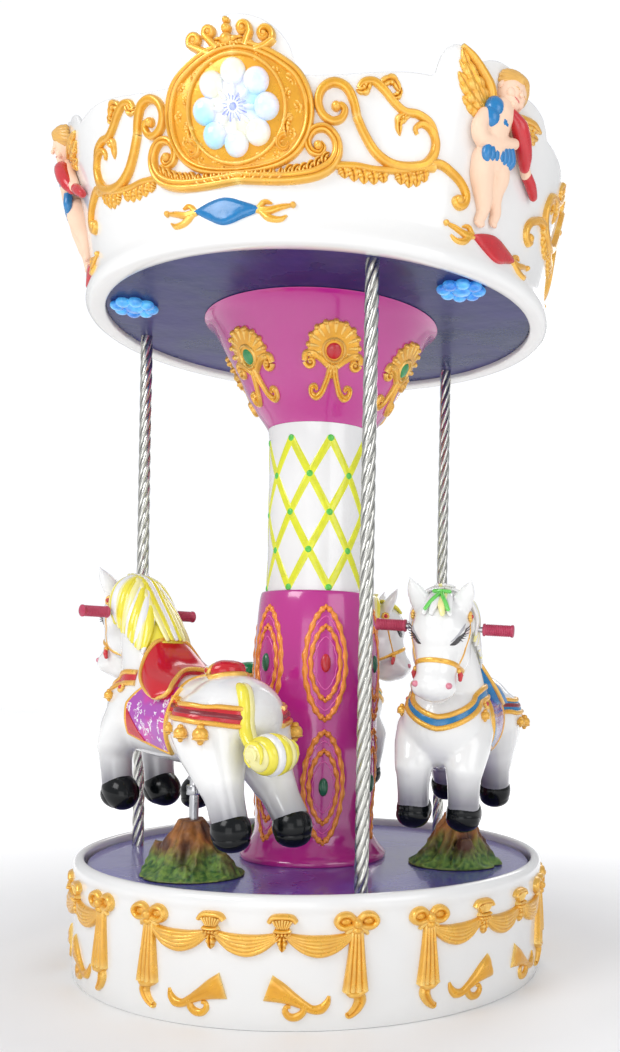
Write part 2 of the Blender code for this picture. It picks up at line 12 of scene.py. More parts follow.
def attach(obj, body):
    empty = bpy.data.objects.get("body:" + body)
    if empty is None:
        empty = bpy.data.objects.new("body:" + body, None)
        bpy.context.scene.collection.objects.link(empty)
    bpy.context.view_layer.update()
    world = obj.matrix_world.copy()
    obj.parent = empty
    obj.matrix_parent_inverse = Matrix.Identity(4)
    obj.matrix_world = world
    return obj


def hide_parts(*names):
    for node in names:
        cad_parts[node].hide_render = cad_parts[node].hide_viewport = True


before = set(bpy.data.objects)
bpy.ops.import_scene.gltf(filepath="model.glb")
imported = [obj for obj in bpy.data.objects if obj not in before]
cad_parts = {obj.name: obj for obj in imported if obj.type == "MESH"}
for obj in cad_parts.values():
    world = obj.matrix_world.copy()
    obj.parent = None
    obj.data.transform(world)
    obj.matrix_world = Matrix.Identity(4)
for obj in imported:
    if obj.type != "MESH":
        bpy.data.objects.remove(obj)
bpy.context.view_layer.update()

bl_info = {
    "name": "Children's carousel",
    "version": (1, 0, 0),
    "blender": (4, 5, 0),
    "location": "View3D > Sidebar > Carousel",
    "description": "Dresses a three-horse carousel: drum, column, crown reliefs, lamps, rocks and horses",
    "category": "Add Mesh",
}

TURNING = "carousel"
STILL = "base"

# Places that the construction gives, in metres and degrees
MEDALLIONS = (0.0, 120.0, 240.0)
CHERUBS = (60.0, 180.0, 300.0)
POLES = (30.0, 150.0, 270.0)
HORSES = (-30.0, 90.0, 210.0)
HORSE_PITCH = (0.0, 6.5, 0.0)
HORSE_LEAN = (0.0, 2.5, 0.0)
SWAG_SETS = tuple(4.7 + 60.0 * k for k in range(6))
DRUM_RADIUS = 0.650
DECK_TOP = 0.285
DECK_RADIUS = 0.6165
COLUMN_TOP = 1.036
BAND_TOP = 1.497
CEILING = 1.800
CEILING_RADIUS = 0.594
RELIEF_RADIUS = 0.670
POLE_CIRCLE = 0.544
POLE_RADIUS = 0.0175
HORSE_CIRCLE = 0.415
POST_TOP = 0.600
POST_RADIUS = 0.012
BAR_FORWARD = 0.262
BAR_HEIGHT = 0.962
BAR_HALF = 0.176
GRIP_START = 0.098
LAMP_CIRCLE = 0.520

# Outlines that are turned about the axis, as (radius, height) from the bottom up
DRUM_WALL = ((0.6485, 0.0), (0.650, 0.0015), (0.650, 0.130), (0.650, 0.255), (0.6505, 0.265),
             (0.6518, 0.274), (0.652, 0.282), (0.6505, 0.292), (0.646, 0.300), (0.639, 0.3045),
             (0.631, 0.3055), (0.6258, 0.303), (0.6232, 0.298), (0.6227, 0.290), (0.6227, 0.241))
COLUMN_WALL = ((0.207, 0.2853), (0.208, 0.288), (0.2075, 0.296), (0.204, 0.302), (0.195, 0.311),
               (0.186, 0.322), (0.178, 0.335), (0.171, 0.352), (0.167, 0.380), (0.166, 0.420),
               (0.1695, 0.480), (0.173, 0.550), (0.1755, 0.640), (0.1765, 0.720), (0.1765, 0.800),
               (0.175, 0.860), (0.170, 0.940), (0.165, 1.000), (0.1605, 1.028), (0.157, 1.0345),
               (0.150, 1.036))
BAND_WALL = ((0.146, 1.0363), (0.1455, 1.050), (0.1437, 1.100), (0.143, 1.200), (0.143, 1.380),
             (0.1435, 1.440), (0.146, 1.480), (0.148, 1.497))
FLARE_WALL = ((0.149, 1.4973), (0.153, 1.5055), (0.166, 1.525), (0.183, 1.548), (0.200, 1.575),
              (0.222, 1.618), (0.245, 1.665), (0.274, 1.717), (0.302, 1.768), (0.318, 1.789),
              (0.329, 1.7965), (0.331, 1.7985), (0.328, 1.7995))
CROWN_WALL = ((0.628, 1.784), (0.635, 1.7855), (0.641, 1.790), (0.6450, 1.797), (0.646, 1.804),
              (0.645, 1.813), (0.642, 1.822), (0.637, 1.836), (0.634, 1.850), (0.633, 1.875),
              (0.634, 1.900), (0.639, 1.940), (0.645, 1.980), (0.652, 2.020), (0.660, 2.060),
              (0.675, 2.130), (0.688, 2.200), (0.705, 2.320))


class CarouselSizes(PropertyGroup):
    relief: FloatProperty(name="Relief", description="Height of the crown's gold relief",
                          default=0.020, min=0.005, max=0.04, unit="LENGTH")
    twist: FloatProperty(name="Pole twist", description="Length of one turn of the poles' flutes",
                         default=0.115, min=0.05, max=0.5, unit="LENGTH")
    flutes: IntProperty(name="Pole flutes", description="How many flutes a pole has", default=5)
    coat_cell: FloatProperty(name="Horse detail", description="Cell size of the horses' skin",
                             default=0.0055, min=0.004, max=0.02, unit="LENGTH")


def colour_property(name, description, value):
    return FloatVectorProperty(name=name, description=description, default=value,
                               subtype="COLOR", size=3, min=0.0, max=1.0)


class CarouselColours(PropertyGroup):
    white: colour_property("White", "Gel coat of the drum, crown, band and horses", (0.82, 0.82, 0.81))
    gold: colour_property("Gold", "Paint of the reliefs", (0.83, 0.41, 0.025))
    magenta: colour_property("Magenta", "Gel coat of the column", (0.52, 0.022, 0.27))
    violet: colour_property("Violet", "Gel coat of the deck", (0.075, 0.060, 0.33))
    navy: colour_property("Navy", "Polished ceiling", (0.012, 0.022, 0.105))
    orange: colour_property("Orange", "Rope outlines on the column", (0.88, 0.27, 0.025))
    lime: colour_property("Lime", "Lattice on the white band", (0.74, 0.76, 0.02))
    green: colour_property("Green", "Dots of the lattice and one forelock", (0.09, 0.55, 0.06))
    red: colour_property("Red", "Red paint", (0.56, 0.012, 0.022))
    blue: colour_property("Blue", "Blue paint", (0.0, 0.18, 0.46))
    flesh: colour_property("Flesh", "Cherubs' skin", (0.82, 0.47, 0.30))
    mane: colour_property("Mane", "Yellow of manes and tails", (0.84, 0.74, 0.05))


def sizes():
    return bpy.context.scene.carousel_sizes


def colours():
    return bpy.context.scene.carousel_colours


# Shader effects shared by several materials

def new_group(name, inputs, outputs):
    group = bpy.data.node_groups.new(name, "ShaderNodeTree")
    kinds = {"float": "NodeSocketFloat", "colour": "NodeSocketColor", "vector": "NodeSocketVector"}
    for label, kind, default in inputs:
        socket = group.interface.new_socket(label, in_out="INPUT", socket_type=kinds[kind])
        if default is not None:
            socket.default_value = default
    for label, kind in outputs:
        group.interface.new_socket(label, in_out="OUTPUT", socket_type=kinds[kind])
    return group


class Wiring:
    """Adds nodes to a tree; values go to inputs, and (node, socket) pairs are linked."""

    def __init__(self, tree):
        self.tree = tree

    def add(self, kind, inputs=None, **settings):
        node = self.tree.nodes.new(kind)
        for key, value in settings.items():
            setattr(node, key, value)
        for key, value in (inputs or {}).items():
            socket = node.inputs[key]
            if isinstance(value, tuple) and len(value) == 2 and hasattr(value[0], "outputs"):
                self.tree.links.new(value[0].outputs[value[1]], socket)
            else:
                socket.default_value = value
        return node

    def mix(self, factor, first, second, blend="MIX"):
        node = self.tree.nodes.new("ShaderNodeMix")
        node.data_type = "RGBA"
        node.blend_type = blend
        for socket, value in ((node.inputs[0], factor), (node.inputs[6], first),
                              (node.inputs[7], second)):
            if isinstance(value, tuple) and len(value) == 2 and hasattr(value[0], "outputs"):
                self.tree.links.new(value[0].outputs[value[1]], socket)
            else:
                socket.default_value = value
        return (node, 2)

    def remap(self, value, low, high, to_low, to_high):
        return (self.add("ShaderNodeMapRange", {"Value": value, "From Min": low, "From Max": high,
                                                "To Min": to_low, "To Max": to_high}), 0)


def gel_coat_effect():
    """Sprayed gel coat: uneven tone, a ripple like orange peel, and dull patches."""
    name = "Sprayed gel coat"
    if name in bpy.data.node_groups:
        return bpy.data.node_groups[name]
    group = new_group(name, (("Colour", "colour", (0.8, 0.8, 0.8, 1.0)), ("Gloss", "float", 0.15),
                             ("Tone", "float", 0.08), ("Ripple", "float", 0.05)),
                      (("Colour", "colour"), ("Roughness", "float"), ("Normal", "vector")))
    make = Wiring(group)
    given = make.add("NodeGroupInput")
    out = make.add("NodeGroupOutput")
    where = make.add("ShaderNodeTexCoord")
    clouds = make.add("ShaderNodeTexNoise", {"Vector": (where, "Object"), "Scale": 3.2, "Detail": 4.0})
    peel = make.add("ShaderNodeTexNoise", {"Vector": (where, "Object"), "Scale": 42.0, "Detail": 2.0})
    bend = make.add("ShaderNodeTexNoise", {"Vector": (where, "Object"), "Scale": 7.0, "Detail": 1.0})
    darker = make.mix(1.0, (given, "Colour"), (0.72, 0.70, 0.72, 1.0), "MULTIPLY")
    amount = make.add("ShaderNodeMath", {0: make.remap((clouds, "Fac"), 0.35, 0.75, 0.0, 1.0),
                                         1: (given, "Tone")}, operation="MULTIPLY")
    tone = make.mix((amount, 0), (given, "Colour"), darker)
    dull = make.add("ShaderNodeMath", {0: (given, "Gloss"),
                                       1: make.remap((clouds, "Fac"), 0.3, 0.8, 0.0, 0.12)},
                    operation="ADD")
    height = make.add("ShaderNodeMath", {0: (peel, "Fac"), 1: (bend, "Fac"), 2: 0.2},
                      operation="MULTIPLY_ADD")
    ripple = make.add("ShaderNodeBump", {"Strength": (given, "Ripple"), "Distance": 0.004,
                                         "Height": (height, 0)})
    tree = group.links
    tree.new(tone[0].outputs[tone[1]], out.inputs["Colour"])
    tree.new(dull.outputs[0], out.inputs["Roughness"])
    tree.new(ripple.outputs[0], out.inputs["Normal"])
    return group


def relief_shading_effect():
    """Brushed relief paint: painted shade darkens the hollows and a painted highlight lightens the ridges, with brush
    marks.
    """
    name = "Brushed relief"
    if name in bpy.data.node_groups:
        return bpy.data.node_groups[name]
    group = new_group(name, (("Colour", "colour", (0.8, 0.4, 0.05, 1.0)),
                             ("Hollow", "colour", (0.4, 0.1, 0.01, 1.0)),
                             ("Ridge", "colour", (1.0, 0.8, 0.3, 1.0)), ("Gloss", "float", 0.25)),
                      (("Colour", "colour"), ("Roughness", "float"), ("Normal", "vector")))
    make = Wiring(group)
    given = make.add("NodeGroupInput")
    out = make.add("NodeGroupOutput")
    where = make.add("ShaderNodeTexCoord")
    shape = make.add("ShaderNodeNewGeometry")
    blotch = make.add("ShaderNodeTexNoise", {"Vector": (where, "Object"), "Scale": 34.0, "Detail": 4.0})
    marks = make.add("ShaderNodeTexNoise", {"Vector": (where, "Object"), "Scale": 120.0, "Detail": 2.0})
    # Painted shade darkens the hollows towards the Hollow colour, and a painted highlight lightens the ridges towards
    # the Ridge colour.
    hollow = make.remap((shape, "Pointiness"), 0.44, 0.50, 1.0, 0.0)
    ridge = make.remap((shape, "Pointiness"), 0.52, 0.62, 0.0, 0.75)
    uneven = make.remap((blotch, "Fac"), 0.35, 0.7, 0.0, 0.28)
    base = make.mix(uneven, (given, "Colour"), (given, "Hollow"))
    low = make.mix(hollow, base, (given, "Hollow"))
    high = make.mix(ridge, low, (given, "Ridge"))
    rough = make.add("ShaderNodeMath", {0: (given, "Gloss"),
                                        1: make.remap((blotch, "Fac"), 0.3, 0.8, 0.0, 0.2)},
                     operation="ADD")
    bump = make.add("ShaderNodeBump", {"Strength": 0.22, "Distance": 0.002, "Height": (marks, "Fac")})
    group.links.new(high[0].outputs[high[1]], out.inputs["Colour"])
    group.links.new(rough.outputs[0], out.inputs["Roughness"])
    group.links.new(bump.outputs[0], out.inputs["Normal"])
    return group


def base_material(name, **constants):
    material = bpy.data.materials.get(name)
    if material is not None:
        return material, None, None
    material = bpy.data.materials.new(name)
    material.use_nodes = True
    shader = material.node_tree.nodes["Principled BSDF"]
    for label, value in constants.items():
        shader.inputs[label].default_value = value
    return material, Wiring(material.node_tree), shader


def wire_effect(make, shader, group, inputs):
    effect = make.add("ShaderNodeGroup", node_tree=group)
    for label, value in inputs.items():
        effect.inputs[label].default_value = value
    make.tree.links.new(effect.outputs["Colour"], shader.inputs["Base Color"])
    make.tree.links.new(effect.outputs["Roughness"], shader.inputs["Roughness"])
    make.tree.links.new(effect.outputs["Normal"], shader.inputs["Normal"])
    return effect


def gel_material(name, colour, gloss=0.14, tone=0.25, ripple=0.05, coat=0.6, specular=0.55):
    material, make, shader = base_material(name, **{"Coat Weight": coat, "Coat Roughness": 0.04,
                                                    "Specular IOR Level": specular})
    if make is not None:
        wire_effect(make, shader, gel_coat_effect(), {"Colour": (*colour, 1.0), "Gloss": gloss,
                                                      "Tone": tone, "Ripple": ripple})
    return material


def relief_material(name, colour, hollow, ridge, metallic=0.35, gloss=0.22):
    material, make, shader = base_material(name, **{"Metallic": metallic, "Coat Weight": 0.35,
                                                    "Coat Roughness": 0.08})
    if make is not None:
        wire_effect(make, shader, relief_shading_effect(), {"Colour": (*colour, 1.0), "Hollow": (*hollow, 1.0),
                                                    "Ridge": (*ridge, 1.0), "Gloss": gloss})
    return material


def white_gel():
    return gel_material("white gel coat", colours().white, 0.16, 0.12, 0.03)


def gold_paint():
    # The hollow colour is painted shade and the ridge colour a painted highlight on the gold.
    return relief_material("gold paint", colours().gold, (0.42, 0.115, 0.004), (1.0, 0.78, 0.28))


def paint(name, colour, metallic=0.0):
    # A darker copy of the colour as painted shade in the hollows and a lighter copy as a painted highlight on the
    # ridges.
    hollow = tuple(0.45 * value for value in colour)
    ridge = tuple(min(1.0, value * 1.15 + 0.05) for value in colour)
    return relief_material(name, colour, hollow, ridge, metallic, 0.16)


def glow_material(name, dark, light, strength, scale):
    """Frosted lamp plastic whose colour and glow drift in clouds between a dark and a light tint."""
    material, make, shader = base_material(name, **{"Roughness": 0.25, "Coat Weight": 0.5,
                                                    "Emission Strength": strength})
    if make is not None:
        where = make.add("ShaderNodeTexCoord")
        cloud = make.add("ShaderNodeTexNoise", {"Vector": (where, "Object"), "Scale": scale})
        shade = make.mix(make.remap((cloud, "Fac"), 0.35, 0.65, 0.0, 1.0), (*dark, 1.0), (*light, 1.0))
        make.tree.links.new(shade[0].outputs[shade[1]], shader.inputs["Base Color"])
        make.tree.links.new(shade[0].outputs[shade[1]], shader.inputs["Emission Color"])
    return material


# Modelling

def polar(radius, azimuth, height=0.0):
    turn = math.radians(azimuth)
    return Vector((radius * math.sin(turn), -radius * math.cos(turn), height))


def smooth_path(points, count):
    """Points on a smooth curve through the given ones, evenly shared between them."""
    points = [Vector(point) for point in points]
    padded = [2 * points[0] - points[1], *points, 2 * points[-1] - points[-2]]
    path = []
    for span in range(len(points) - 1):
        a, b, c, d = padded[span:span + 4]
        knots = [0.0]
        for first, second in ((a, b), (b, c), (c, d)):
            knots.append(knots[-1] + max(1e-6, (second - first).length) ** 0.5)
        for step in range(count):
            t = knots[1] + (knots[2] - knots[1]) * step / count
            ab = a.lerp(b, (t - knots[0]) / (knots[1] - knots[0]))
            bc = b.lerp(c, (t - knots[1]) / (knots[2] - knots[1]))
            cd = c.lerp(d, (t - knots[2]) / (knots[3] - knots[2]))
            first = ab.lerp(bc, (t - knots[0]) / (knots[2] - knots[0]))
            second = bc.lerp(cd, (t - knots[1]) / (knots[3] - knots[1]))
            path.append(first.lerp(second, (t - knots[1]) / (knots[2] - knots[1])))
    path.append(points[-1])
    return path


class Clay:
    """Collects closed shapes, each with a material number, and makes one object of them."""

    def __init__(self):
        self.points = []
        self.faces = []
        self.slots = []

    def tube(self, rings, slot=0, closed=False):
        base = len(self.points)
        sides = len(rings[0])
        for ring in rings:
            self.points.extend(ring)
        count = len(rings)
        for row in range(count if closed else count - 1):
            here = base + row * sides
            there = base + ((row + 1) % count) * sides
            for side in range(sides):
                after = (side + 1) % sides
                self.faces.append((here + side, here + after, there + after, there + side))
                self.slots.append(slot)
        if not closed:
            self.faces.append(tuple(base + side for side in reversed(range(sides))))
            self.faces.append(tuple(base + (count - 1) * sides + side for side in range(sides)))
            self.slots.extend((slot, slot))

    def sheet(self, rows, thickness_rows, slot=0):
        """A closed slab between two like grids of points."""
        base = len(self.points)
        height = len(rows)
        width = len(rows[0])
        for grid in (rows, thickness_rows):
            for row in grid:
                self.points.extend(row)
        under = height * width
        for i in range(height - 1):
            for j in range(width - 1):
                a = base + i * width + j
                self.faces.append((a, a + 1, a + width + 1, a + width))
                self.faces.append((a + under, a + under + width, a + under + width + 1, a + under + 1))
                self.slots.extend((slot, slot))
        edge = [base + j for j in range(width)]
        edge += [base + i * width + width - 1 for i in range(1, height)]
        edge += [base + (height - 1) * width + j for j in range(width - 2, -1, -1)]
        edge += [base + i * width for i in range(height - 2, 0, -1)]
        for here, there in zip(edge, edge[1:] + edge[:1]):
            self.faces.append((here, here + under, there + under, there))
            self.slots.append(slot)

    def make(self, name, materials, sharp=None):
        mesh = bpy.data.meshes.new(name)
        mesh.from_pydata([tuple(point) for point in self.points], [], self.faces)
        for material in materials:
            mesh.materials.append(material)
        mesh.polygons.foreach_set("material_index", self.slots)
        work = bmesh.new()
        work.from_mesh(mesh)
        bmesh.ops.recalc_face_normals(work, faces=work.faces)
        work.to_mesh(mesh)
        work.free()
        mesh.shade_smooth()
        if sharp is not None:
            mesh.set_sharp_from_angle(angle=math.radians(sharp))
        thing = bpy.data.objects.new(name, mesh)
        bpy.context.scene.collection.objects.link(thing)
        return thing


class Skin:
    """A turned wall seen flat: u runs along it from an azimuth, v is the height, h stands proud."""

    def __init__(self, wall, azimuth, radius):
        self.radii = [point[0] for point in wall]
        self.heights = [point[1] for point in wall]
        self.azimuth = azimuth
        self.radius = radius

    def at(self, u, v, h=0.0):
        step = 0.004
        here = float(np.interp(v, self.heights, self.radii))
        slope = (float(np.interp(v + step, self.heights, self.radii))
                 - float(np.interp(v - step, self.heights, self.radii))) / (2 * step)
        lean = math.hypot(1.0, slope)
        return polar(here + h / lean, self.azimuth + math.degrees(u / self.radius),
                     v - h * slope / lean)


def turned(name, wall, steps, materials, cap_radius=None, smoothing=2):
    """A closed ring or disc from an outline that runs from the bottom up."""
    path = [(point[0], point[1]) for point in smooth_path([(*point, 0.0) for point in wall], smoothing)]
    clay = Clay()
    if cap_radius is None:
        path = [(0.0005, path[0][1]), *path, (0.0005, path[-1][1])]
        rings = [[polar(radius, 360.0 * k / steps, height) for k in range(steps)]
                 for radius, height in path]
        clay.tube(rings)
    else:
        rings = [[polar(radius, 360.0 * k / steps, height) for k in range(steps)]
                 for radius, height in path]
        clay.tube(rings, closed=True)
    return clay.make(name, materials, 40.0)


def spread(value, t):
    """A width that is constant, or that runs through (start, middle, end)."""
    if isinstance(value, (int, float)):
        return value
    if callable(value):
        return value(t)
    return float(np.interp(t, np.linspace(0.0, 1.0, len(value)), value))


def ridge(clay, skin, path, width, height, slot=0, sides=8, vein=0.0, sink=0.002):
    """A moulding along a path on a skin: half-round, or with a groove down its middle."""
    count = len(path)
    rings = []
    for i, point in enumerate(path):
        before = path[max(0, i - 1)]
        after = path[min(count - 1, i + 1)]
        du = after[0] - before[0]
        dv = after[1] - before[1]
        length = math.hypot(du, dv) or 1.0
        nu = -dv / length
        nv = du / length
        t = i / (count - 1)
        w = spread(width, t)
        top = spread(height, t)
        ring = []
        for k in range(sides + 1):
            turn = math.pi * k / sides
            across = w * math.cos(turn)
            groove = 1.0 - vein * math.exp(-(math.cos(turn) / 0.28) ** 2)
            ring.append(skin.at(point[0] + nu * across, point[1] + nv * across,
                                top * math.sin(turn) ** 0.8 * groove - sink))
        ring.append(skin.at(point[0], point[1], -sink - 0.001))
        rings.append(ring)
    clay.tube(rings, slot)


def spiral(centre, start_radius, end_radius, start_angle, turn_angle, count=22):
    """Points of a volute, angles in degrees anticlockwise."""
    path = []
    for k in range(count + 1):
        t = k / count
        radius = start_radius + (end_radius - start_radius) * t ** 0.8
        turn = math.radians(start_angle + turn_angle * t)
        path.append((centre[0] + radius * math.cos(turn), centre[1] + radius * math.sin(turn)))
    return path


def scroll(clay, skin, points, width, height, curl=None, slot=0, mirror=1, count=5):
    """A smooth stem that may end in a volute (centre, radius, end radius, turn), with a bead in it."""
    path = [(mirror * p[0], p[1]) for p in smooth_path([(*point, 0.0) for point in points], count)]
    if curl is not None:
        centre, end_radius, turn = curl
        centre = (mirror * centre[0], centre[1])
        last = path[-1]
        start = math.degrees(math.atan2(last[1] - centre[1], last[0] - centre[0]))
        reach = math.hypot(last[0] - centre[0], last[1] - centre[1])
        path = path + spiral(centre, reach, end_radius, start, mirror * turn)[1:]
        boss(clay, skin, centre[0], centre[1], end_radius * 1.25, end_radius * 1.25,
             spread(height, 0.5) * 1.1, slot)
    ridge(clay, skin, path, width, height, slot, vein=0.25)


def leaf(clay, skin, base, tip, width, height, bend=0.0, lobes=4, slot=0):
    """An acanthus leaf with a vein and scalloped edges; bend bows its middle sideways."""
    du = tip[0] - base[0]
    dv = tip[1] - base[1]
    path = []
    count = 6 * lobes
    for k in range(count + 1):
        t = k / count
        bow = bend * math.sin(math.pi * t)
        path.append((base[0] + du * t - dv * bow, base[1] + dv * t + du * bow))

    def breadth(t):
        return width * (0.12 + math.sin(math.pi * min(1.0, 0.08 + t * 0.92)) ** 0.75) \
            * (0.78 + 0.22 * abs(math.sin(math.pi * lobes * t)))

    def rise(t):
        return height * (0.35 + 0.65 * math.sin(math.pi * (0.15 + 0.8 * t))) \
            * (0.85 + 0.15 * abs(math.sin(math.pi * lobes * t)))
    ridge(clay, skin, path, breadth, rise, slot, sides=10, vein=0.45)


def boss(clay, skin, u, v, reach_u, reach_v, height, slot=0, sides=20, lift=0.0):
    """A dome on a skin, such as a bead or a gem."""
    rings = []
    for share, up in ((1.0, -0.002), (1.0, 0.0), (0.96, 0.35), (0.84, 0.62), (0.64, 0.83),
                      (0.38, 0.96), (0.08, 1.0)):
        ring = []
        for k in range(sides):
            turn = 2 * math.pi * k / sides
            rise = up * height + lift if up > 0 else up + lift
            ring.append(skin.at(u + reach_u * share * math.cos(turn),
                                v + reach_v * share * math.sin(turn), rise))
        rings.append(ring)
    clay.tube(rings, slot)


def ring_on(clay, skin, u, v, reach_u, reach_v, width, height, slot=0, count=48, beads=0):
    """An oval moulding on a skin, plain or roped with beads."""
    rings = []
    for k in range(count):
        turn = 2 * math.pi * k / count
        wave = 1.0 + (0.22 * math.cos(beads * turn) if beads else 0.0)
        ring = []
        for j in range(8):
            around = 2 * math.pi * j / 8
            out = width * math.cos(around) * wave
            ring.append(skin.at(u + (reach_u + out) * math.cos(turn), v + (reach_v + out) * math.sin(turn),
                                height * wave * math.sin(around)))
        rings.append(ring)
    clay.tube(rings, slot, closed=True)


def plate(clay, skin, outline, height, slot=0, crown=0.3):
    """A filled outline that swells gently towards its middle."""
    mid_u = sum(point[0] for point in outline) / len(outline)
    mid_v = sum(point[1] for point in outline) / len(outline)
    rings = []
    for share, up in ((1.0, -0.002), (1.0, 0.0), (0.97, 0.7), (0.9, 1.0), (0.6, 1.0 + crown * 0.6),
                      (0.3, 1.0 + crown * 0.9), (0.03, 1.0 + crown)):
        rings.append([skin.at(mid_u + (p[0] - mid_u) * share, mid_v + (p[1] - mid_v) * share,
                              up * height if up > 0 else up) for p in outline])
    clay.tube(rings, slot)


def settle(thing, body, slot, *nodes):
    """Rides a piece on its body and stands for CAD nodes; the slot is not used."""
    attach(thing, body)
    if nodes:
        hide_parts(*nodes)
    return thing


def rod(clay, points, radii, slot=0, sides=14, flat=1.0, up=(0, 0, 1), rounded=True):
    """A limb along points in space; flat squeezes it across the up direction."""
    points = [Vector(point) for point in points]
    count = len(points)
    if isinstance(radii, (int, float)):
        radii = [radii] * count
    if rounded:
        first = (points[0] - points[1]).normalized()
        last = (points[-1] - points[-2]).normalized()
        start = [(points[0] + first * radii[0] * a, radii[0] * b)
                 for a, b in ((0.98, 0.18), (0.82, 0.57), (0.45, 0.89))]
        end = [(points[-1] + last * radii[-1] * a, radii[-1] * b)
               for a, b in ((0.45, 0.89), (0.82, 0.57), (0.98, 0.18))]
        points = [item[0] for item in start] + points + [item[0] for item in end]
        radii = [item[1] for item in start] + list(radii) + [item[1] for item in end]
        count = len(points)
    side = None
    rings = []
    for i, point in enumerate(points):
        along = (points[min(count - 1, i + 1)] - points[max(0, i - 1)]).normalized()
        if side is None:
            side = along.cross(Vector(up))
            if side.length < 1e-4:
                side = along.cross(Vector((0.3, 1.0, 0.1)))
        side = (side - along * side.dot(along)).normalized()
        other = side.cross(along)
        rings.append([point + side * radii[i] * math.cos(2 * math.pi * k / sides)
                      + other * radii[i] * flat * math.sin(2 * math.pi * k / sides)
                      for k in range(sides)])
    clay.tube(rings, slot)


def lump(clay, centre, reach, slot=0, turn=None, sides=20, rows=12):
    """An ellipsoid; turn is a rotation matrix about its centre."""
    centre = Vector(centre)
    rings = []
    for row in range(1, rows):
        fall = math.pi * row / rows
        ring = []
        for k in range(sides):
            around = 2 * math.pi * k / sides
            offset = Vector((reach[0] * math.sin(fall) * math.cos(around),
                             reach[1] * math.sin(fall) * math.sin(around), reach[2] * math.cos(fall)))
            ring.append(centre + (turn @ offset if turn is not None else offset))
        rings.append(ring)
    clay.tube(rings, slot)


def fused(clay, name, cell, smoothing, materials):
    """Melts what the clay holds into one skin."""
    rough = clay.make(name + "_rough", [])
    remesh = rough.modifiers.new("melt", "REMESH")
    remesh.mode = "VOXEL"
    remesh.voxel_size = cell
    soften = rough.modifiers.new("soften", "SMOOTH")
    soften.iterations = smoothing
    soften.factor = 0.5
    scene_graph = bpy.context.evaluated_depsgraph_get()
    mesh = bpy.data.meshes.new_from_object(rough.evaluated_get(scene_graph))
    mesh.name = name
    bpy.data.objects.remove(rough)
    mesh.materials.clear()
    for material in materials:
        mesh.materials.append(material)
    mesh.shade_smooth()
    thing = bpy.data.objects.new(name, mesh)
    bpy.context.scene.collection.objects.link(thing)
    return thing


# Drum

def small_scroll(clay, skin, side):
    """The horn-shaped scroll under a swag, with its mouth towards the middle of the set."""
    horn = smooth_path([(side * 0.052, 0.098, 0), (side * 0.080, 0.088, 0), (side * 0.105, 0.076, 0),
                        (side * 0.130, 0.062, 0), (side * 0.152, 0.050, 0), (side * 0.172, 0.051, 0),
                        (side * 0.185, 0.064, 0), (side * 0.190, 0.080, 0)], 5)
    ridge(clay, skin, horn, (0.032, 0.024, 0.016, 0.011, 0.010, 0.012, 0.009, 0.004),
          (0.012, 0.016, 0.015, 0.013, 0.013, 0.014, 0.011, 0.006), sides=10, vein=0.2)
    hook = smooth_path([(side * 0.136, 0.060, 0), (side * 0.131, 0.044, 0), (side * 0.118, 0.034, 0),
                        (side * 0.102, 0.034, 0), (side * 0.092, 0.045, 0), (side * 0.094, 0.056, 0),
                        (side * 0.104, 0.057, 0)], 5)
    ridge(clay, skin, hook, (0.008, 0.009, 0.010, 0.009, 0.008, 0.006, 0.005),
          (0.012, 0.013, 0.013, 0.012, 0.011, 0.010, 0.008), vein=0.15)


def swag_cloth(clay, skin, left, right):
    """Cloth hanging between two knots, gathered at the ends into deep folds."""
    span = right[0] - left[0]
    for fold in range(5):
        f = fold / 4
        path = []
        for k in range(25):
            t = k / 24
            sag = 4 * t * (1 - t)
            top = left[1] + (right[1] - left[1]) * t - 0.012 * sag
            drop = (0.006 + 0.024 * sag * 0.9) * f
            path.append((left[0] + span * t, top - drop - 0.006 * sag * f * f))
        ridge(clay, skin, path, (0.0045, 0.0075, 0.0092, 0.0075, 0.0045),
              (0.010, 0.017 + 0.002 * (fold % 2), 0.016 + 0.005 * math.sin(math.pi * f), 0.015, 0.010),
              sides=8)


def drop_cloth(clay, skin, u, side):
    """A hanging end of cloth: it widens downwards, folds back and ends in a curled tail."""
    for fold, (top, low) in enumerate(((-0.010, -0.022), (-0.003, -0.009), (0.004, 0.005), (0.011, 0.019))):
        path = [(u + top + (low - top) * (k / 12) ** 1.2, 0.225 - 0.137 * k / 12) for k in range(13)]
        ridge(clay, skin, path, (0.0055, 0.0062, 0.0080, 0.0102), (0.012, 0.015, 0.018, 0.020 - 0.002 * (fold % 2)))
    lip = smooth_path([(u - 0.026, 0.096, 0), (u - 0.012, 0.083, 0), (u + 0.006, 0.084, 0),
                       (u + 0.025, 0.093, 0)], 6)
    ridge(clay, skin, lip, (0.006, 0.009, 0.010, 0.007), (0.016, 0.021, 0.021, 0.016))
    tail = smooth_path([(u + 0.004 * side, 0.085, 0), (u + 0.010 * side, 0.068, 0),
                        (u + 0.004 * side, 0.052, 0), (u - 0.006 * side, 0.040, 0),
                        (u - 0.016 * side, 0.033, 0), (u - 0.021 * side, 0.040, 0)], 6)
    ridge(clay, skin, tail, (0.014, 0.015, 0.013, 0.011, 0.008, 0.004),
          (0.014, 0.018, 0.016, 0.014, 0.011, 0.007), vein=0.3)


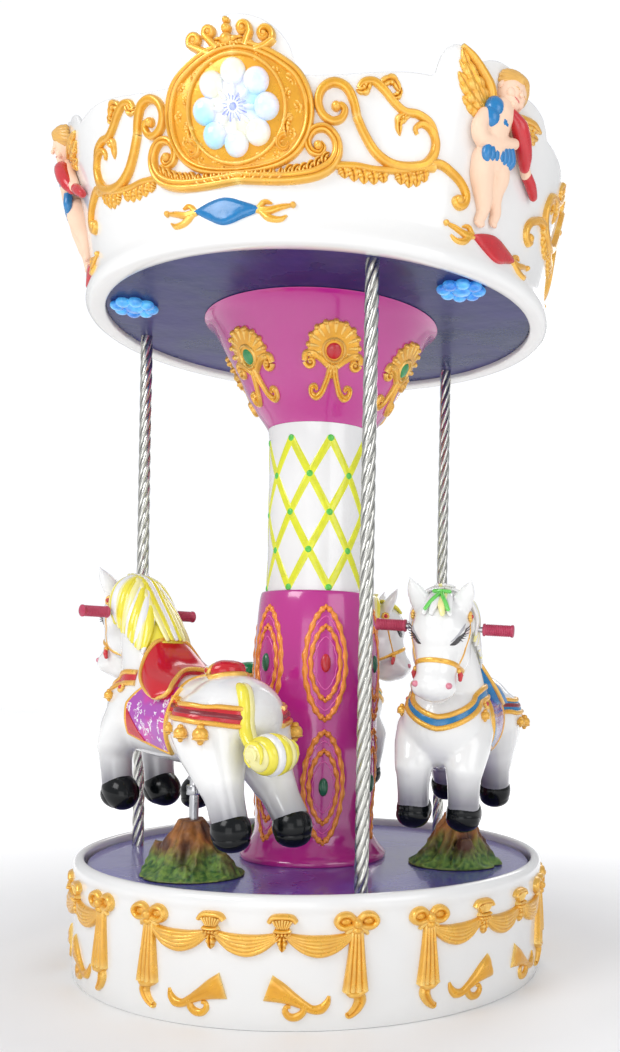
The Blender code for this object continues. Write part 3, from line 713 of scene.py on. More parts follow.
def bow_cap(clay, skin, u):
    """The bow over a drop: two loops, a knot between them and two short ends."""
    for side in (-1, 1):
        loop = smooth_path([(u, 0.242, 0), (u + side * 0.018, 0.262, 0), (u + side * 0.038, 0.260, 0),
                            (u + side * 0.046, 0.246, 0), (u + side * 0.034, 0.234, 0),
                            (u + side * 0.012, 0.236, 0), (u, 0.240, 0)], 5)
        ridge(clay, skin, loop, 0.008, (0.013, 0.018, 0.019, 0.018, 0.017, 0.014))
        boss(clay, skin, u + side * 0.026, 0.248, 0.014, 0.010, 0.011)
        end = [(u + side * 0.006, 0.236), (u + side * 0.020, 0.226), (u + side * 0.026, 0.216)]
        ridge(clay, skin, end, (0.007, 0.008, 0.004), (0.016, 0.014, 0.008))
    boss(clay, skin, u, 0.243, 0.013, 0.014, 0.024)
    boss(clay, skin, u, 0.228, 0.014, 0.010, 0.020)


def knot_cap(clay, skin, u):
    """The fan and collar over a knot between two swags, with its pendant."""
    fan = smooth_path([(u - 0.031, 0.247, 0), (u - 0.022, 0.257, 0), (u, 0.2595, 0),
                       (u + 0.022, 0.257, 0), (u + 0.031, 0.247, 0)], 5)
    ridge(clay, skin, fan, (0.006, 0.0075, 0.008, 0.0075, 0.006), 0.017)
    for k in range(-3, 4):
        path = [(u + k * 0.0072, 0.255 - abs(k) * 0.0012), (u + k * 0.0055, 0.244), (u + k * 0.0036, 0.233)]
        ridge(clay, skin, path, (0.0042, 0.0038, 0.0030), (0.017, 0.016, 0.013))
    collar = [(u + 0.019 * math.sin(x), 0.231 - 0.004 * math.cos(x)) for x in np.linspace(-1.4, 1.4, 13)]
    ridge(clay, skin, collar, 0.0052, 0.019)
    for k in range(-2, 3):
        boss(clay, skin, u + k * 0.0078, 0.2205, 0.0045, 0.0050, 0.019, sides=12)
    for side in (-1, 1):
        leaf(clay, skin, (u + side * 0.004, 0.216), (u + side * 0.022, 0.206), 0.007, 0.017, 0.1, 2)
    leaf(clay, skin, (u, 0.218), (u, 0.180), 0.011, 0.020, 0.0, 3)


class CAROUSEL_OT_drum(Operator):
    """Make the white drum and its twelve gold swags, drops and scrolls"""
    bl_idname = "carousel.drum"
    bl_label = "Drum and swags"

    def execute(self, context):
        drum = turned("drum", DRUM_WALL, 256, [white_gel()])
        settle(drum, STILL, "gloss_white", "base_drum")
        for number, azimuth in enumerate(SWAG_SETS, 1):
            skin = Skin(((0.650, 0.0), (0.650, 0.262), (0.652, 0.284)), azimuth, DRUM_RADIUS)
            clay = Clay()
            places = (-0.2507, -0.0828, 0.0828, 0.2507)
            for left, right in zip(places, places[1:]):
                swag_cloth(clay, skin, (left + 0.008, 0.221), (right - 0.008, 0.221))
            for side in (-1, 1):
                drop_cloth(clay, skin, side * 0.2507, side)
                bow_cap(clay, skin, side * 0.2507)
                knot_cap(clay, skin, side * 0.0828)
                small_scroll(clay, skin, side)
            swags = clay.make("swags_%d" % number, [gold_paint()], 50.0)
            settle(swags, STILL, "gilt", "swag_set_%d" % number)
        return {"FINISHED"}


# Deck

def deck_material():
    """Violet gel coat rolled over a crinkled ground, glossy on its ridges."""
    material, make, shader = base_material("deck gel coat", **{"Coat Weight": 0.45, "Coat Roughness": 0.08,
                                                               "Specular IOR Level": 0.5})
    if make is not None:
        where = make.add("ShaderNodeTexCoord")
        crinkle = make.add("ShaderNodeTexVoronoi", {"Vector": (where, "Object"), "Scale": 75.0})
        broad = make.add("ShaderNodeTexNoise", {"Vector": (where, "Object"), "Scale": 5.0, "Detail": 6.0})
        grit = make.add("ShaderNodeTexNoise", {"Vector": (where, "Object"), "Scale": 60.0, "Detail": 3.0})
        violet = colours().violet
        pale = tuple(min(1.0, 0.05 + value * 1.3) for value in violet)
        tone = make.mix(make.remap((broad, "Fac"), 0.35, 0.7, 0.0, 0.55), (*violet, 1.0), (*pale, 1.0))
        shader.inputs["Roughness"].default_value = 0.2
        make.tree.links.new(tone[0].outputs[tone[1]], shader.inputs["Base Color"])
        rough = make.remap((broad, "Fac"), 0.3, 0.75, 0.16, 0.34)
        make.tree.links.new(rough[0].outputs[rough[1]], shader.inputs["Roughness"])
        height = make.add("ShaderNodeMath", {0: (crinkle, "Distance"), 1: (grit, "Fac"), 2: 0.7},
                          operation="MULTIPLY_ADD")
        bump = make.add("ShaderNodeBump", {"Strength": 0.30, "Distance": 0.004, "Height": (height, 0)})
        make.tree.links.new(bump.outputs[0], shader.inputs["Normal"])
    return material


class CAROUSEL_OT_deck(Operator):
    """Make the violet turning deck in the drum's recess"""
    bl_idname = "carousel.deck"
    bl_label = "Deck"

    def execute(self, context):
        outline = ((0.200, 0.2405), (0.200, 0.258), (0.608, 0.2605), (0.6145, 0.262), (0.6165, 0.266),
                   (0.6165, 0.279), (0.6155, 0.2835), (0.6125, 0.285), (0.560, 0.285), (0.200, 0.285))
        deck = turned("deck_disc", outline, 256, [deck_material()], smoothing=1)
        settle(deck, TURNING, "deck_violet", "deck")
        return {"FINISHED"}


# Column

def lens_path(half_width, half_height, middle, sharpness, wave, count=96):
    """A pointed oval, its sides slightly scalloped like a laid rope."""
    path = []
    for k in range(count):
        turn = 2 * math.pi * k / count
        across = math.copysign(abs(math.sin(turn)) ** sharpness, math.sin(turn))
        ripple = 1.0 + wave * math.sin(16 * turn)
        path.append((half_width * across * ripple, middle + half_height * math.cos(turn)))
    return path


def loop_ridge(clay, skin, path, width, height, slot, beads=0):
    """A closed moulding along a closed path, roped where beads are asked for."""
    count = len(path)
    rings = []
    for i, point in enumerate(path):
        before = path[i - 1]
        after = path[(i + 1) % count]
        du = after[0] - before[0]
        dv = after[1] - before[1]
        length = math.hypot(du, dv) or 1.0
        swell = 1.0 + (0.25 * math.cos(2 * math.pi * beads * i / count) if beads else 0.0)
        ring = []
        for k in range(8):
            turn = 2 * math.pi * k / 8
            across = width * swell * math.cos(turn)
            ring.append(skin.at(point[0] - dv / length * across, point[1] + du / length * across,
                                height * swell * math.sin(turn)))
        rings.append(ring)
    clay.tube(rings, slot, closed=True)


def pointed_panel(clay, skin, middle, half_height, gem):
    """Nested rope outlines round a gem."""
    for share, sharp, wave, width, slot, beads in ((1.00, 1.35, 0.020, 0.0074, 0, 22), (0.84, 1.30, 0.030, 0.0020, 1, 0),
                                                   (0.66, 1.40, 0.022, 0.0064, 0, 16), (0.47, 1.35, 0.035, 0.0018, 1, 0)):
        loop_ridge(clay, skin, lens_path(0.056 * share ** 0.8, half_height * share, middle, sharp, wave, 144),
                   width, min(0.0052, width * 0.85), slot, beads)
    boss(clay, skin, 0.0, middle, 0.0135, 0.0255, 0.009, gem, 24)


class CAROUSEL_OT_column(Operator):
    """Make the magenta column with its twelve pointed panels and their gems"""
    bl_idname = "carousel.column"
    bl_label = "Column"

    def execute(self, context):
        magenta = gel_material("magenta gel coat", colours().magenta, 0.13, 0.45, 0.14, 0.8)
        column = turned("column", COLUMN_WALL, 192, [magenta])
        settle(column, TURNING, "magenta", "column_lower")
        clay = Clay()
        for k in range(6):
            azimuth = 26.0 + 60.0 * k
            skin = Skin(COLUMN_WALL, azimuth, 0.173)
            pointed_panel(clay, skin, 0.836, 0.153, 2 + k % 2)
            pointed_panel(clay, skin, 0.498, 0.150, 3)
        rose = gel_material("rose edge", (0.75, 0.10, 0.42), 0.15, 0.3, 0.1)
        panels = clay.make("column_panels", [paint("orange rope", colours().orange, 0.15), rose,
                                             paint("red gem", colours().red), paint("green gem", (0.01, 0.13, 0.06))],
                           60.0)
        settle(panels, TURNING, "gilt")
        return {"FINISHED"}


# White band with its lattice

class CAROUSEL_OT_band(Operator):
    """Make the white band and the painted lattice of ribbons round it"""
    bl_idname = "carousel.band"
    bl_label = "Band and lattice"

    def execute(self, context):
        band = turned("band", BAND_WALL, 192, [white_gel()])
        settle(band, TURNING, "gloss_white", "column_band")
        clay = Clay()
        rows = (1.0445, 1.148, 1.252, 1.356, 1.4555)
        skin = Skin(BAND_WALL, 0.0, 0.145)
        pitch = math.radians(45.0) * 0.145
        first = -0.040
        for k in range(8):
            for lean in (-1, 1):
                for row in range(4):
                    shift = (0.5 if (row % 2) else 0.0) * pitch
                    start = first + k * pitch + shift
                    finish = start + lean * 0.5 * pitch
                    path = [(start + (finish - start) * t, rows[row] + (rows[row + 1] - rows[row]) * t)
                            for t in np.linspace(0.0, 1.0, 9)]
                    ridge(clay, skin, path, 0.0118, 0.0024, 0, sides=6, sink=0.001)
            for row in range(5):
                shift = (0.5 if (row % 2) else 0.0) * pitch
                boss(clay, skin, first + k * pitch + shift, rows[row], 0.0095, 0.0095, 0.0036, 1)
        lime = paint("lime ribbon", colours().lime)
        lattice = clay.make("lattice", [lime, paint("green dot", colours().green)], 50.0)
        settle(lattice, TURNING, "gilt")
        return {"FINISHED"}


# Flare with its shells

def shell_ornament(clay, skin, gem):
    """A fluted shell over a gem, with side curls and two feet that roll outwards."""
    base = 1.668
    outline = []
    for k in range(41):
        turn = math.radians(-20.0 + 220.0 * k / 40)
        scallop = 1.0 + 0.035 * abs(math.sin(6.5 * turn))
        outline.append((0.0625 * scallop * math.cos(turn), base + 0.064 * scallop * math.sin(turn)))
    outline.append((0.0, 1.632))
    plate(clay, skin, outline, 0.006, 0, 0.2)
    for k in range(11):
        turn = math.radians(-12.0 + 204.0 * k / 10)
        inner = (0.030 * math.cos(turn), base + 0.030 * math.sin(turn))
        outer = (0.062 * math.cos(turn), base + 0.063 * math.sin(turn))
        ridge(clay, skin, [inner, ((inner[0] + outer[0]) / 2, (inner[1] + outer[1]) / 2), outer],
              (0.0030, 0.0052, 0.0068), (0.008, 0.0105, 0.0125))
        boss(clay, skin, outer[0], outer[1], 0.0072, 0.0072, 0.0135, sides=12)
    loop_ridge(clay, skin, [(0.0265 * math.sin(a) ** 1, base - 0.002 + 0.0265 * math.cos(a))
                            for a in np.linspace(0.0, 2 * math.pi, 40, endpoint=False)], 0.0050, 0.011, 0)
    boss(clay, skin, 0.0, base - 0.003, 0.0205, 0.0215, 0.013, gem, 28)
    for side in (-1, 1):
        arm = smooth_path([(side * 0.012, 1.628, 0), (side * 0.032, 1.645, 0), (side * 0.052, 1.657, 0),
                           (side * 0.070, 1.655, 0), (side * 0.074, 1.640, 0)], 5)
        ridge(clay, skin, arm, (0.008, 0.009, 0.010, 0.009, 0.008), 0.013, vein=0.2)
        curl = [(p[0], p[1]) for p in spiral((side * 0.059, 1.637), 0.0155, 0.005,
                                             0.0 if side > 0 else 180.0, -side * 330.0)]
        ridge(clay, skin, curl, (0.0065, 0.0055, 0.0035), (0.013, 0.012, 0.010), vein=0.1)
        boss(clay, skin, side * 0.059, 1.637, 0.0055, 0.0055, 0.014, sides=12)
        leg = smooth_path([(side * 0.004, 1.632, 0), (side * 0.010, 1.606, 0), (side * 0.018, 1.585, 0),
                           (side * 0.028, 1.566, 0), (side * 0.045, 1.555, 0), (side * 0.060, 1.562, 0),
                           (side * 0.060, 1.577, 0), (side * 0.047, 1.580, 0), (side * 0.043, 1.571, 0)], 5)
        ridge(clay, skin, leg, (0.010, 0.0085, 0.0085, 0.0090, 0.0088, 0.0080, 0.0068, 0.0050),
              (0.014, 0.013, 0.012, 0.013, 0.014, 0.013, 0.012, 0.010), vein=0.3)
    leaf(clay, skin, (0.0, 1.636), (0.0, 1.598), 0.011, 0.014, 0.0, 3)


class CAROUSEL_OT_flare(Operator):
    """Make the flared top of the column and its six shells"""
    bl_idname = "carousel.flare"
    bl_label = "Flare and shells"

    def execute(self, context):
        magenta = gel_material("smooth magenta", colours().magenta, 0.12, 0.3, 0.02, 0.8)
        flare = turned("flare", FLARE_WALL, 192, [magenta])
        settle(flare, TURNING, "magenta", "column_flare")
        clay = Clay()
        for k in range(6):
            shell_ornament(clay, Skin(FLARE_WALL, 25.0 + 60.0 * k, 0.23), 1 + k % 2)
        shells = clay.make("shells", [gold_paint(), paint("red gem", colours().red),
                                      paint("bright green gem", (0.03, 0.30, 0.09))], 50.0)
        settle(shells, TURNING, "gilt")
        return {"FINISHED"}


# Ceiling and its lamps

def ceiling_material():
    """Deep blue lacquer with violet clouds, rippled so that what it mirrors breaks up."""
    material, make, shader = base_material("navy ceiling", **{"Coat Weight": 0.05, "Coat Roughness": 0.12,
                                                              "Specular IOR Level": 0.12})
    if make is not None:
        where = make.add("ShaderNodeTexCoord")
        cloud = make.add("ShaderNodeTexNoise", {"Vector": (where, "Object"), "Scale": 3.5, "Detail": 5.0})
        wave = make.add("ShaderNodeTexNoise", {"Vector": (where, "Object"), "Scale": 11.0, "Detail": 3.0})
        tone = make.mix(make.remap((cloud, "Fac"), 0.42, 0.62, 0.0, 1.0), (*colours().navy, 1.0), (0.040, 0.036, 0.17, 1.0))
        make.tree.links.new(tone[0].outputs[tone[1]], shader.inputs["Base Color"])
        rough = make.remap((cloud, "Fac"), 0.3, 0.7, 0.20, 0.36)
        make.tree.links.new(rough[0].outputs[rough[1]], shader.inputs["Roughness"])
        bump = make.add("ShaderNodeBump", {"Strength": 0.35, "Distance": 0.010, "Height": (wave, "Fac")})
        make.tree.links.new(bump.outputs[0], shader.inputs["Normal"])
    return material


class CAROUSEL_OT_ceiling(Operator):
    """Make the polished ceiling and the three lamps under it"""
    bl_idname = "carousel.ceiling"
    bl_label = "Ceiling and lamps"

    def execute(self, context):
        navy = ceiling_material()
        outline = ((0.300, 1.8002), (0.560, 1.8002), (0.5925, 1.8002), (0.5938, 1.802), (0.5938, 1.817),
                   (0.300, 1.850))
        ceiling = turned("ceiling_disc", outline, 256, [navy], smoothing=1)
        settle(ceiling, TURNING, "navy", "ceiling")
        glow = glow_material("cyan lamp", (0.02, 0.17, 0.62), (0.10, 0.46, 0.85), 0.35, 30.0)
        for number, azimuth in enumerate(CHERUBS, 1):
            middle = polar(LAMP_CIRCLE, azimuth, CEILING - 0.0012)
            clay = Clay()
            ring = []
            for radius, height in ((0.050, 0.0), (0.052, -0.003), (0.046, -0.008), (0.004, -0.009)):
                ring.append([middle + polar(radius, 360.0 * k / 48, height) for k in range(48)])
            clay.tube(ring, 0)
            for k in range(8):
                lump(clay, middle + polar(0.0445, 45.0 * k + azimuth, -0.0065),
                     (0.0195, 0.0195, 0.0135), 0, sides=16, rows=10)
            lump(clay, middle + Vector((0, 0, -0.0085)), (0.026, 0.026, 0.0125), 0, sides=24)
            lamp = clay.make("cyan_flower_%d" % number, [glow])
            settle(lamp, TURNING, "cyan_lamp", "ceiling_lamp_%d" % number)
        return {"FINISHED"}


# Crown

def arch(offset, half_angle, height):
    inside = 1.0 - (offset / half_angle) ** 2
    return height * math.sqrt(inside) if inside > 0.0 else 0.0


def crown_top(azimuth):
    """Height of the crown's edge: it dips by the medallions and rises in humps over the reliefs."""
    offset = (azimuth + 60.0) % 120.0 - 60.0
    rise = max(0.0, min(1.0, (abs(offset) - 14.0) / 26.0))
    side = (azimuth % 120.0) - 60.0
    humps = (arch(offset, 12.0, 0.128), arch(side + 16.0, 5.0, 0.085), arch(side + 5.0, 9.0, 0.090),
             arch(side - 4.0, 9.0, 0.050))
    return 2.148 + 0.042 * rise * rise * (3 - 2 * rise) + max(humps)


def soft_crown_top(azimuth):
    reach = np.linspace(-0.7, 0.7, 7)
    return sum(min(crown_top(azimuth + step), crown_top(azimuth) + 0.02) for step in reach) / len(reach)


def crown_section(azimuth):
    top = soft_crown_top(azimuth)
    heights = [point[1] for point in CROWN_WALL]
    radii = [point[0] for point in CROWN_WALL]

    def outer(height):
        return float(np.interp(height, heights, radii))
    section = [(radii[k], heights[k]) for k in range(10)]
    section += [(outer(1.90 + (top - 0.006 - 1.90) * k / 12), 1.90 + (top - 0.006 - 1.90) * k / 12)
                for k in range(13)]
    edge = outer(top)
    section += [(edge - 0.0008, top - 0.0025), (edge - 0.0030, top - 0.0005), (edge - 0.0060, top),
                (edge - 0.0090, top - 0.0005), (edge - 0.0112, top - 0.0025)]
    section += [(outer(top - 0.006 - (top - 1.856) * k / 10) - 0.012, top - 0.006 - (top - 1.856) * k / 10)
                for k in range(11)]
    section += [(0.612, 1.840), (0.600, 1.822), (0.5952, 1.8185), (0.5943, 1.8165), (0.5943, 1.793),
                (0.5950, 1.7895), (0.598, 1.7875), (0.612, 1.7855)]
    return section


SCROLL_STEM = ((0.276, 2.071), (0.297, 2.035), (0.326, 2.001), (0.364, 1.983), (0.409, 1.984),
               (0.451, 1.999), (0.470, 2.025), (0.471, 2.054), (0.455, 2.075), (0.432, 2.081),
               (0.417, 2.068), (0.423, 2.057))
SCROLL_VOLUTE = ((0.229, 2.084), (0.240, 2.090), (0.249, 2.081), (0.242, 2.063), (0.222, 2.056),
                 (0.200, 2.067), (0.189, 2.093), (0.197, 2.119), (0.222, 2.134), (0.250, 2.127),
                 (0.268, 2.100), (0.277, 2.071))
FROND_STEM = ((0.473, 2.032), (0.472, 2.056), (0.454, 2.086), (0.419, 2.099), (0.388, 2.098),
              (0.361, 2.112), (0.335, 2.134), (0.311, 2.147), (0.287, 2.142), (0.277, 2.128))
TAIL_STEM = ((0.462, 2.004), (0.492, 2.008), (0.520, 2.000), (0.556, 1.982), (0.575, 1.958),
             (0.570, 1.938), (0.552, 1.931), (0.541, 1.940), (0.549, 1.950))
CHAIN_STEM = ((0.214, 1.963), (0.250, 1.966), (0.281, 1.968), (0.320, 1.966), (0.360, 1.969),
              (0.401, 1.977), (0.443, 1.990), (0.475, 1.997))


def wall_scroll(clay, skin, side):
    """The big S scroll beside a medallion, its fronds, its tail and the chain under it."""

    def flip(points):
        return [(side * point[0], point[1]) for point in smooth_path([(*p, 0.0) for p in points], 5)]
    ridge(clay, skin, flip(SCROLL_VOLUTE), (0.0060, 0.0085, 0.0095, 0.0100, 0.0105, 0.0110, 0.0105),
          (0.014, 0.016, 0.017, 0.018, 0.018, 0.018, 0.017), sides=10, vein=0.12)
    boss(clay, skin, side * 0.229, 2.086, 0.0115, 0.0115, 0.018, sides=16)
    ridge(clay, skin, flip(SCROLL_STEM), (0.0108, 0.0112, 0.0120, 0.0130, 0.0125, 0.0110, 0.0090, 0.0070, 0.0045),
          (0.018, 0.019, 0.020, 0.020, 0.018, 0.016, 0.013, 0.009), sides=10, vein=0.12)
    ridge(clay, skin, flip(FROND_STEM), (0.0070, 0.0090, 0.0100, 0.0095, 0.0095, 0.0100, 0.0085, 0.0050),
          (0.012, 0.015, 0.016, 0.016, 0.016, 0.015, 0.011), sides=10, vein=0.18)
    for base, tip, width, bend in (
            ((0.325, 2.140), (0.374, 2.132), 0.0125, 0.42), ((0.350, 2.122), (0.375, 2.146), 0.0085, -0.25),
            ((0.300, 2.146), (0.272, 2.124), 0.0110, 0.30), ((0.405, 2.097), (0.381, 2.046), 0.0115, -0.30),
            ((0.395, 2.094), (0.369, 2.078), 0.0080, 0.20), ((0.440, 2.088), (0.462, 2.070), 0.0090, 0.25)):
        leaf(clay, skin, (side * base[0], base[1]), (side * tip[0], tip[1]), width, 0.016, side * bend, 3)
    ridge(clay, skin, flip(TAIL_STEM), (0.0110, 0.0110, 0.0110, 0.0115, 0.0115, 0.0105, 0.0085, 0.0060),
          (0.018, 0.017, 0.016, 0.016, 0.016, 0.015, 0.013), sides=10, vein=0.12)
    boss(clay, skin, side * 0.553, 1.944, 0.0125, 0.0125, 0.017, sides=16)
    ridge(clay, skin, flip(CHAIN_STEM), (0.0095, 0.0085, 0.0080, 0.0085, 0.0100, 0.0105),
          (0.015, 0.015, 0.015, 0.016, 0.017), sides=8, vein=0.1)
    for at, size in ((0.246, 0.9), (0.268, 1.1), (0.292, 1.2), (0.316, 1.1), (0.340, 0.9),
                     (0.384, 1.0), (0.404, 1.25), (0.424, 1.25), (0.443, 1.0)):
        lift = float(np.interp(at, [p[0] for p in CHAIN_STEM], [p[1] for p in CHAIN_STEM]))
        leaf(clay, skin, (side * (at - 0.004), lift - 0.001), (side * (at + 0.008), lift - 0.030 * size),
             0.0148, 0.015, side * 0.12, 3)


def medallion_frame(clay, skin):
    """Two interlaced mouldings with leaves between them, volutes below and a crest of curls above."""
    rim = ((0.000, 2.208), (0.034, 2.204), (0.070, 2.192), (0.108, 2.172), (0.143, 2.145),
           (0.163, 2.108), (0.169, 2.066), (0.160, 2.024), (0.136, 1.988), (0.100, 1.965),
           (0.050, 1.953), (0.000, 1.950))
    outline = [(p[0], p[1]) for p in smooth_path([(*p, 0.0) for p in rim], 5)]
    plate(clay, skin, outline + [(-p[0], p[1]) for p in outline[-2:0:-1]], 0.007, 0, 0.0)
    for side in (-1, 1):
        ridge(clay, skin, [(side * p[0], p[1]) for p in outline],
              (0.0080, 0.0110, 0.0125, 0.0130, 0.0120, 0.0115, 0.0095, 0.0070),
              (0.016, 0.019, 0.021, 0.021, 0.020, 0.019, 0.016), sides=10, vein=0.3)
        for k in range(13):
            turn = math.radians(14.0 + 152.0 * k / 12)
            u = side * 0.134 * math.sin(turn)
            v = 2.078 + 0.122 * math.cos(turn)
            along = (side * math.cos(turn), -math.sin(turn))
            leaf(clay, skin, (u - 0.013 * along[0], v - 0.013 * along[1]),
                 (u + 0.016 * along[0] + side * 0.007 * (-1) ** k, v + 0.016 * along[1]), 0.0105, 0.015,
                 0.3 * (-1) ** k * side, 3)
        inner = [(side * 0.116 * math.sin(a), 2.078 + 0.113 * math.cos(a)) for a in np.linspace(0, math.pi, 40)]
        ridge(clay, skin, inner, 0.0058, 0.0165, sides=8)
        base = smooth_path([(side * 0.000, 1.936, 0), (side * 0.055, 1.932, 0), (side * 0.102, 1.931, 0),
                            (side * 0.150, 1.935, 0), (side * 0.192, 1.946, 0), (side * 0.222, 1.966, 0),
                            (side * 0.235, 1.994, 0), (side * 0.229, 2.022, 0), (side * 0.206, 2.040, 0),
                            (side * 0.180, 2.035, 0), (side * 0.166, 2.012, 0), (side * 0.174, 1.991, 0),
                            (side * 0.194, 1.986, 0), (side * 0.203, 2.000, 0), (side * 0.195, 2.010, 0)], 6)
        ridge(clay, skin, base, (0.0140, 0.0145, 0.0150, 0.0150, 0.0130, 0.0110, 0.0100, 0.0090, 0.0070, 0.0055),
              (0.020, 0.021, 0.022, 0.022, 0.020, 0.019, 0.018, 0.017, 0.016, 0.014), sides=10, vein=0.3)
        boss(clay, skin, side * 0.190, 2.003, 0.0110, 0.0110, 0.018, sides=16)
        for k in range(6):
            u = 0.118 + 0.017 * k
            v = 1.944 + 0.0012 * k * k
            leaf(clay, skin, (side * u, v - 0.010), (side * (u + 0.014), v + 0.016), 0.0088, 0.022, side * 0.2, 2)
        for k in range(5):
            u = 0.012 + 0.021 * k
            leaf(clay, skin, (side * (u - 0.006), 1.928), (side * (u + 0.008), 1.955), 0.0095, 0.024, -side * 0.2, 2)
        loop = spiral((side * 0.113, 2.004), 0.021, 0.006, 80.0 if side > 0 else 100.0, side * 300.0)
        ridge(clay, skin, loop, (0.0085, 0.0070, 0.0050), (0.021, 0.020, 0.016), vein=0.2)
        leaf(clay, skin, (side * 0.118, 2.024), (side * 0.136, 2.062), 0.012, 0.020, side * 0.25, 3)
    for stem, centre, reach, start, sweep in (
            (((-0.052, 2.196), (-0.072, 2.204), (-0.098, 2.218)), (-0.087, 2.227), 0.0150, 215.0, -400.0),
            (((-0.034, 2.203), (-0.046, 2.216), (-0.060, 2.232)), (-0.051, 2.239), 0.0125, 215.0, -380.0),
            (((0.028, 2.204), (0.034, 2.218), (0.040, 2.232)), (0.025, 2.240), 0.0145, -20.0, 380.0),
            (((0.050, 2.196), (0.072, 2.202), (0.090, 2.214)), (0.072, 2.226), 0.0190, -35.0, 400.0)):
        stalk = [(p[0], p[1]) for p in smooth_path([(*p, 0.0) for p in stem], 5)]
        curl = spiral(centre, reach, 0.0045, start, sweep)
        ridge(clay, skin, stalk + curl, (0.0095, 0.0085, 0.0080, 0.0070, 0.0050),
              (0.018, 0.019, 0.019, 0.018, 0.015), vein=0.15)
        boss(clay, skin, centre[0], centre[1], 0.0068, 0.0068, 0.019, sides=14)
    for number, (v, size) in enumerate(((2.221, 0.0150), (2.243, 0.0120), (2.260, 0.0085))):
        boss(clay, skin, -0.012, v, size, size * 0.95, 0.020 - 0.002 * number, sides=18)
    for side in (-1, 1):
        leaf(clay, skin, (side * 0.006 - 0.008, 2.200), (side * 0.036 - 0.008, 2.220), 0.012, 0.020, side * 0.2, 3)


def end_leaves(clay, skin, points, width):
    """A branching leaf at the end of a painted lozenge."""
    path = [(p[0], p[1]) for p in smooth_path([(*p, 0.0) for p in points], 6)]
    ridge(clay, skin, path, (width, width * 1.2, width, width * 0.8, width * 0.35), (0.010, 0.012, 0.011, 0.007),
          sides=8, vein=0.2)


def lozenge(clay, skin, shift, lean, slot):
    """A painted lozenge with gold leaves at both ends."""
    outline = smooth_path([(shift - 0.088, 1.868 + lean * 0.088, 0), (shift - 0.045, 1.886 + lean * 0.045, 0),
                           (shift, 1.8955, 0), (shift + 0.045, 1.886 - lean * 0.045, 0),
                           (shift + 0.088, 1.868 - lean * 0.088, 0), (shift + 0.046, 1.847 - lean * 0.045, 0),
                           (shift, 1.831, 0), (shift - 0.046, 1.847 + lean * 0.045, 0),
                           (shift - 0.088, 1.868 + lean * 0.088, 0)], 6)[:-1]
    plate(clay, skin, [(p[0], p[1]) for p in outline], 0.009, slot, 0.35)
    for side in (-1, 1):
        u = shift + side * 0.078
        v = 1.868 - side * lean * 0.078
        end_leaves(clay, skin, ((u, v), (u + side * 0.030, v - 0.004), (u + side * 0.062, v + 0.004),
                                (u + side * 0.094, v + 0.010)), 0.0085)
        end_leaves(clay, skin, ((u + side * 0.012, v - 0.004), (u + side * 0.034, v - 0.022),
                                (u + side * 0.060, v - 0.026), (u + side * 0.076, v - 0.016)), 0.0080)
        end_leaves(clay, skin, ((u + side * 0.006, v + 0.004), (u + side * 0.022, v + 0.016),
                                (u + side * 0.040, v + 0.012)), 0.0062)
        boss(clay, skin, u + side * 0.090, v + 0.009, 0.0075, 0.0075, 0.011, sides=14)


class CAROUSEL_OT_crown(Operator):
    """Make the white crown with its gold scrolls, medallion frames and painted lozenges"""
    bl_idname = "carousel.crown"
    bl_label = "Crown and medallions"

    def execute(self, context):
        clay = Clay()
        steps = 720
        clay.tube([[polar(radius, 360.0 * k / steps, height) for radius, height in crown_section(360.0 * k / steps)]
                   for k in range(steps)], closed=True)
        crown = clay.make("crown", [white_gel()], 60.0)
        settle(crown, TURNING, "gloss_white", "crown_wall")
        blue = paint("blue lozenge", colours().blue)
        red = paint("red lozenge", colours().red)
        for number, azimuth in enumerate(MEDALLIONS, 1):
            skin = Skin(CROWN_WALL, azimuth, RELIEF_RADIUS)
            clay = Clay()
            medallion_frame(clay, skin)
            for side in (-1, 1):
                wall_scroll(clay, skin, side)
            frame_piece = clay.make("medallion_frame_%d" % number, [gold_paint()], 55.0)
            settle(frame_piece, TURNING, "gilt", "medallion_%d" % number)
            clay = Clay()
            lozenge(clay, skin, -0.036, 0.04, 1)
            lozenge(clay, Skin(CROWN_WALL, azimuth + 60.0, RELIEF_RADIUS), -0.012, 0.10, 2)
            plates = clay.make("lozenges_%d" % number, [gold_paint(), blue, red], 55.0)
            settle(plates, TURNING, "gilt")
        return {"FINISHED"}


# Flower lamps in the medallions

def flower_material():
    """Frosted flower lamp: pale bulbs whose tint drifts from cream to sky blue."""
    material, make, shader = base_material("frosted flower lamp",
                                           **{"Roughness": 0.22, "Coat Weight": 0.6, "Emission Strength": 0.09,
                                              "Subsurface Weight": 0.1})
    if make is not None:
        where = make.add("ShaderNodeTexCoord")
        drift = make.add("ShaderNodeTexNoise", {"Vector": (where, "Object"), "Scale": 9.0, "Detail": 1.0})
        ramp = make.add("ShaderNodeValToRGB", {"Fac": (drift, "Fac")})
        stops = ramp.color_ramp.elements
        stops[0].position = 0.36
        stops[0].color = (0.88, 0.86, 0.66, 1.0)
        stops[1].position = 0.64
        stops[1].color = (0.42, 0.74, 0.90, 1.0)
        middle = stops.new(0.5)
        middle.color = (0.74, 0.76, 0.88, 1.0)
        make.tree.links.new(ramp.outputs["Color"], shader.inputs["Base Color"])
        make.tree.links.new(ramp.outputs["Color"], shader.inputs["Emission Color"])
    return material


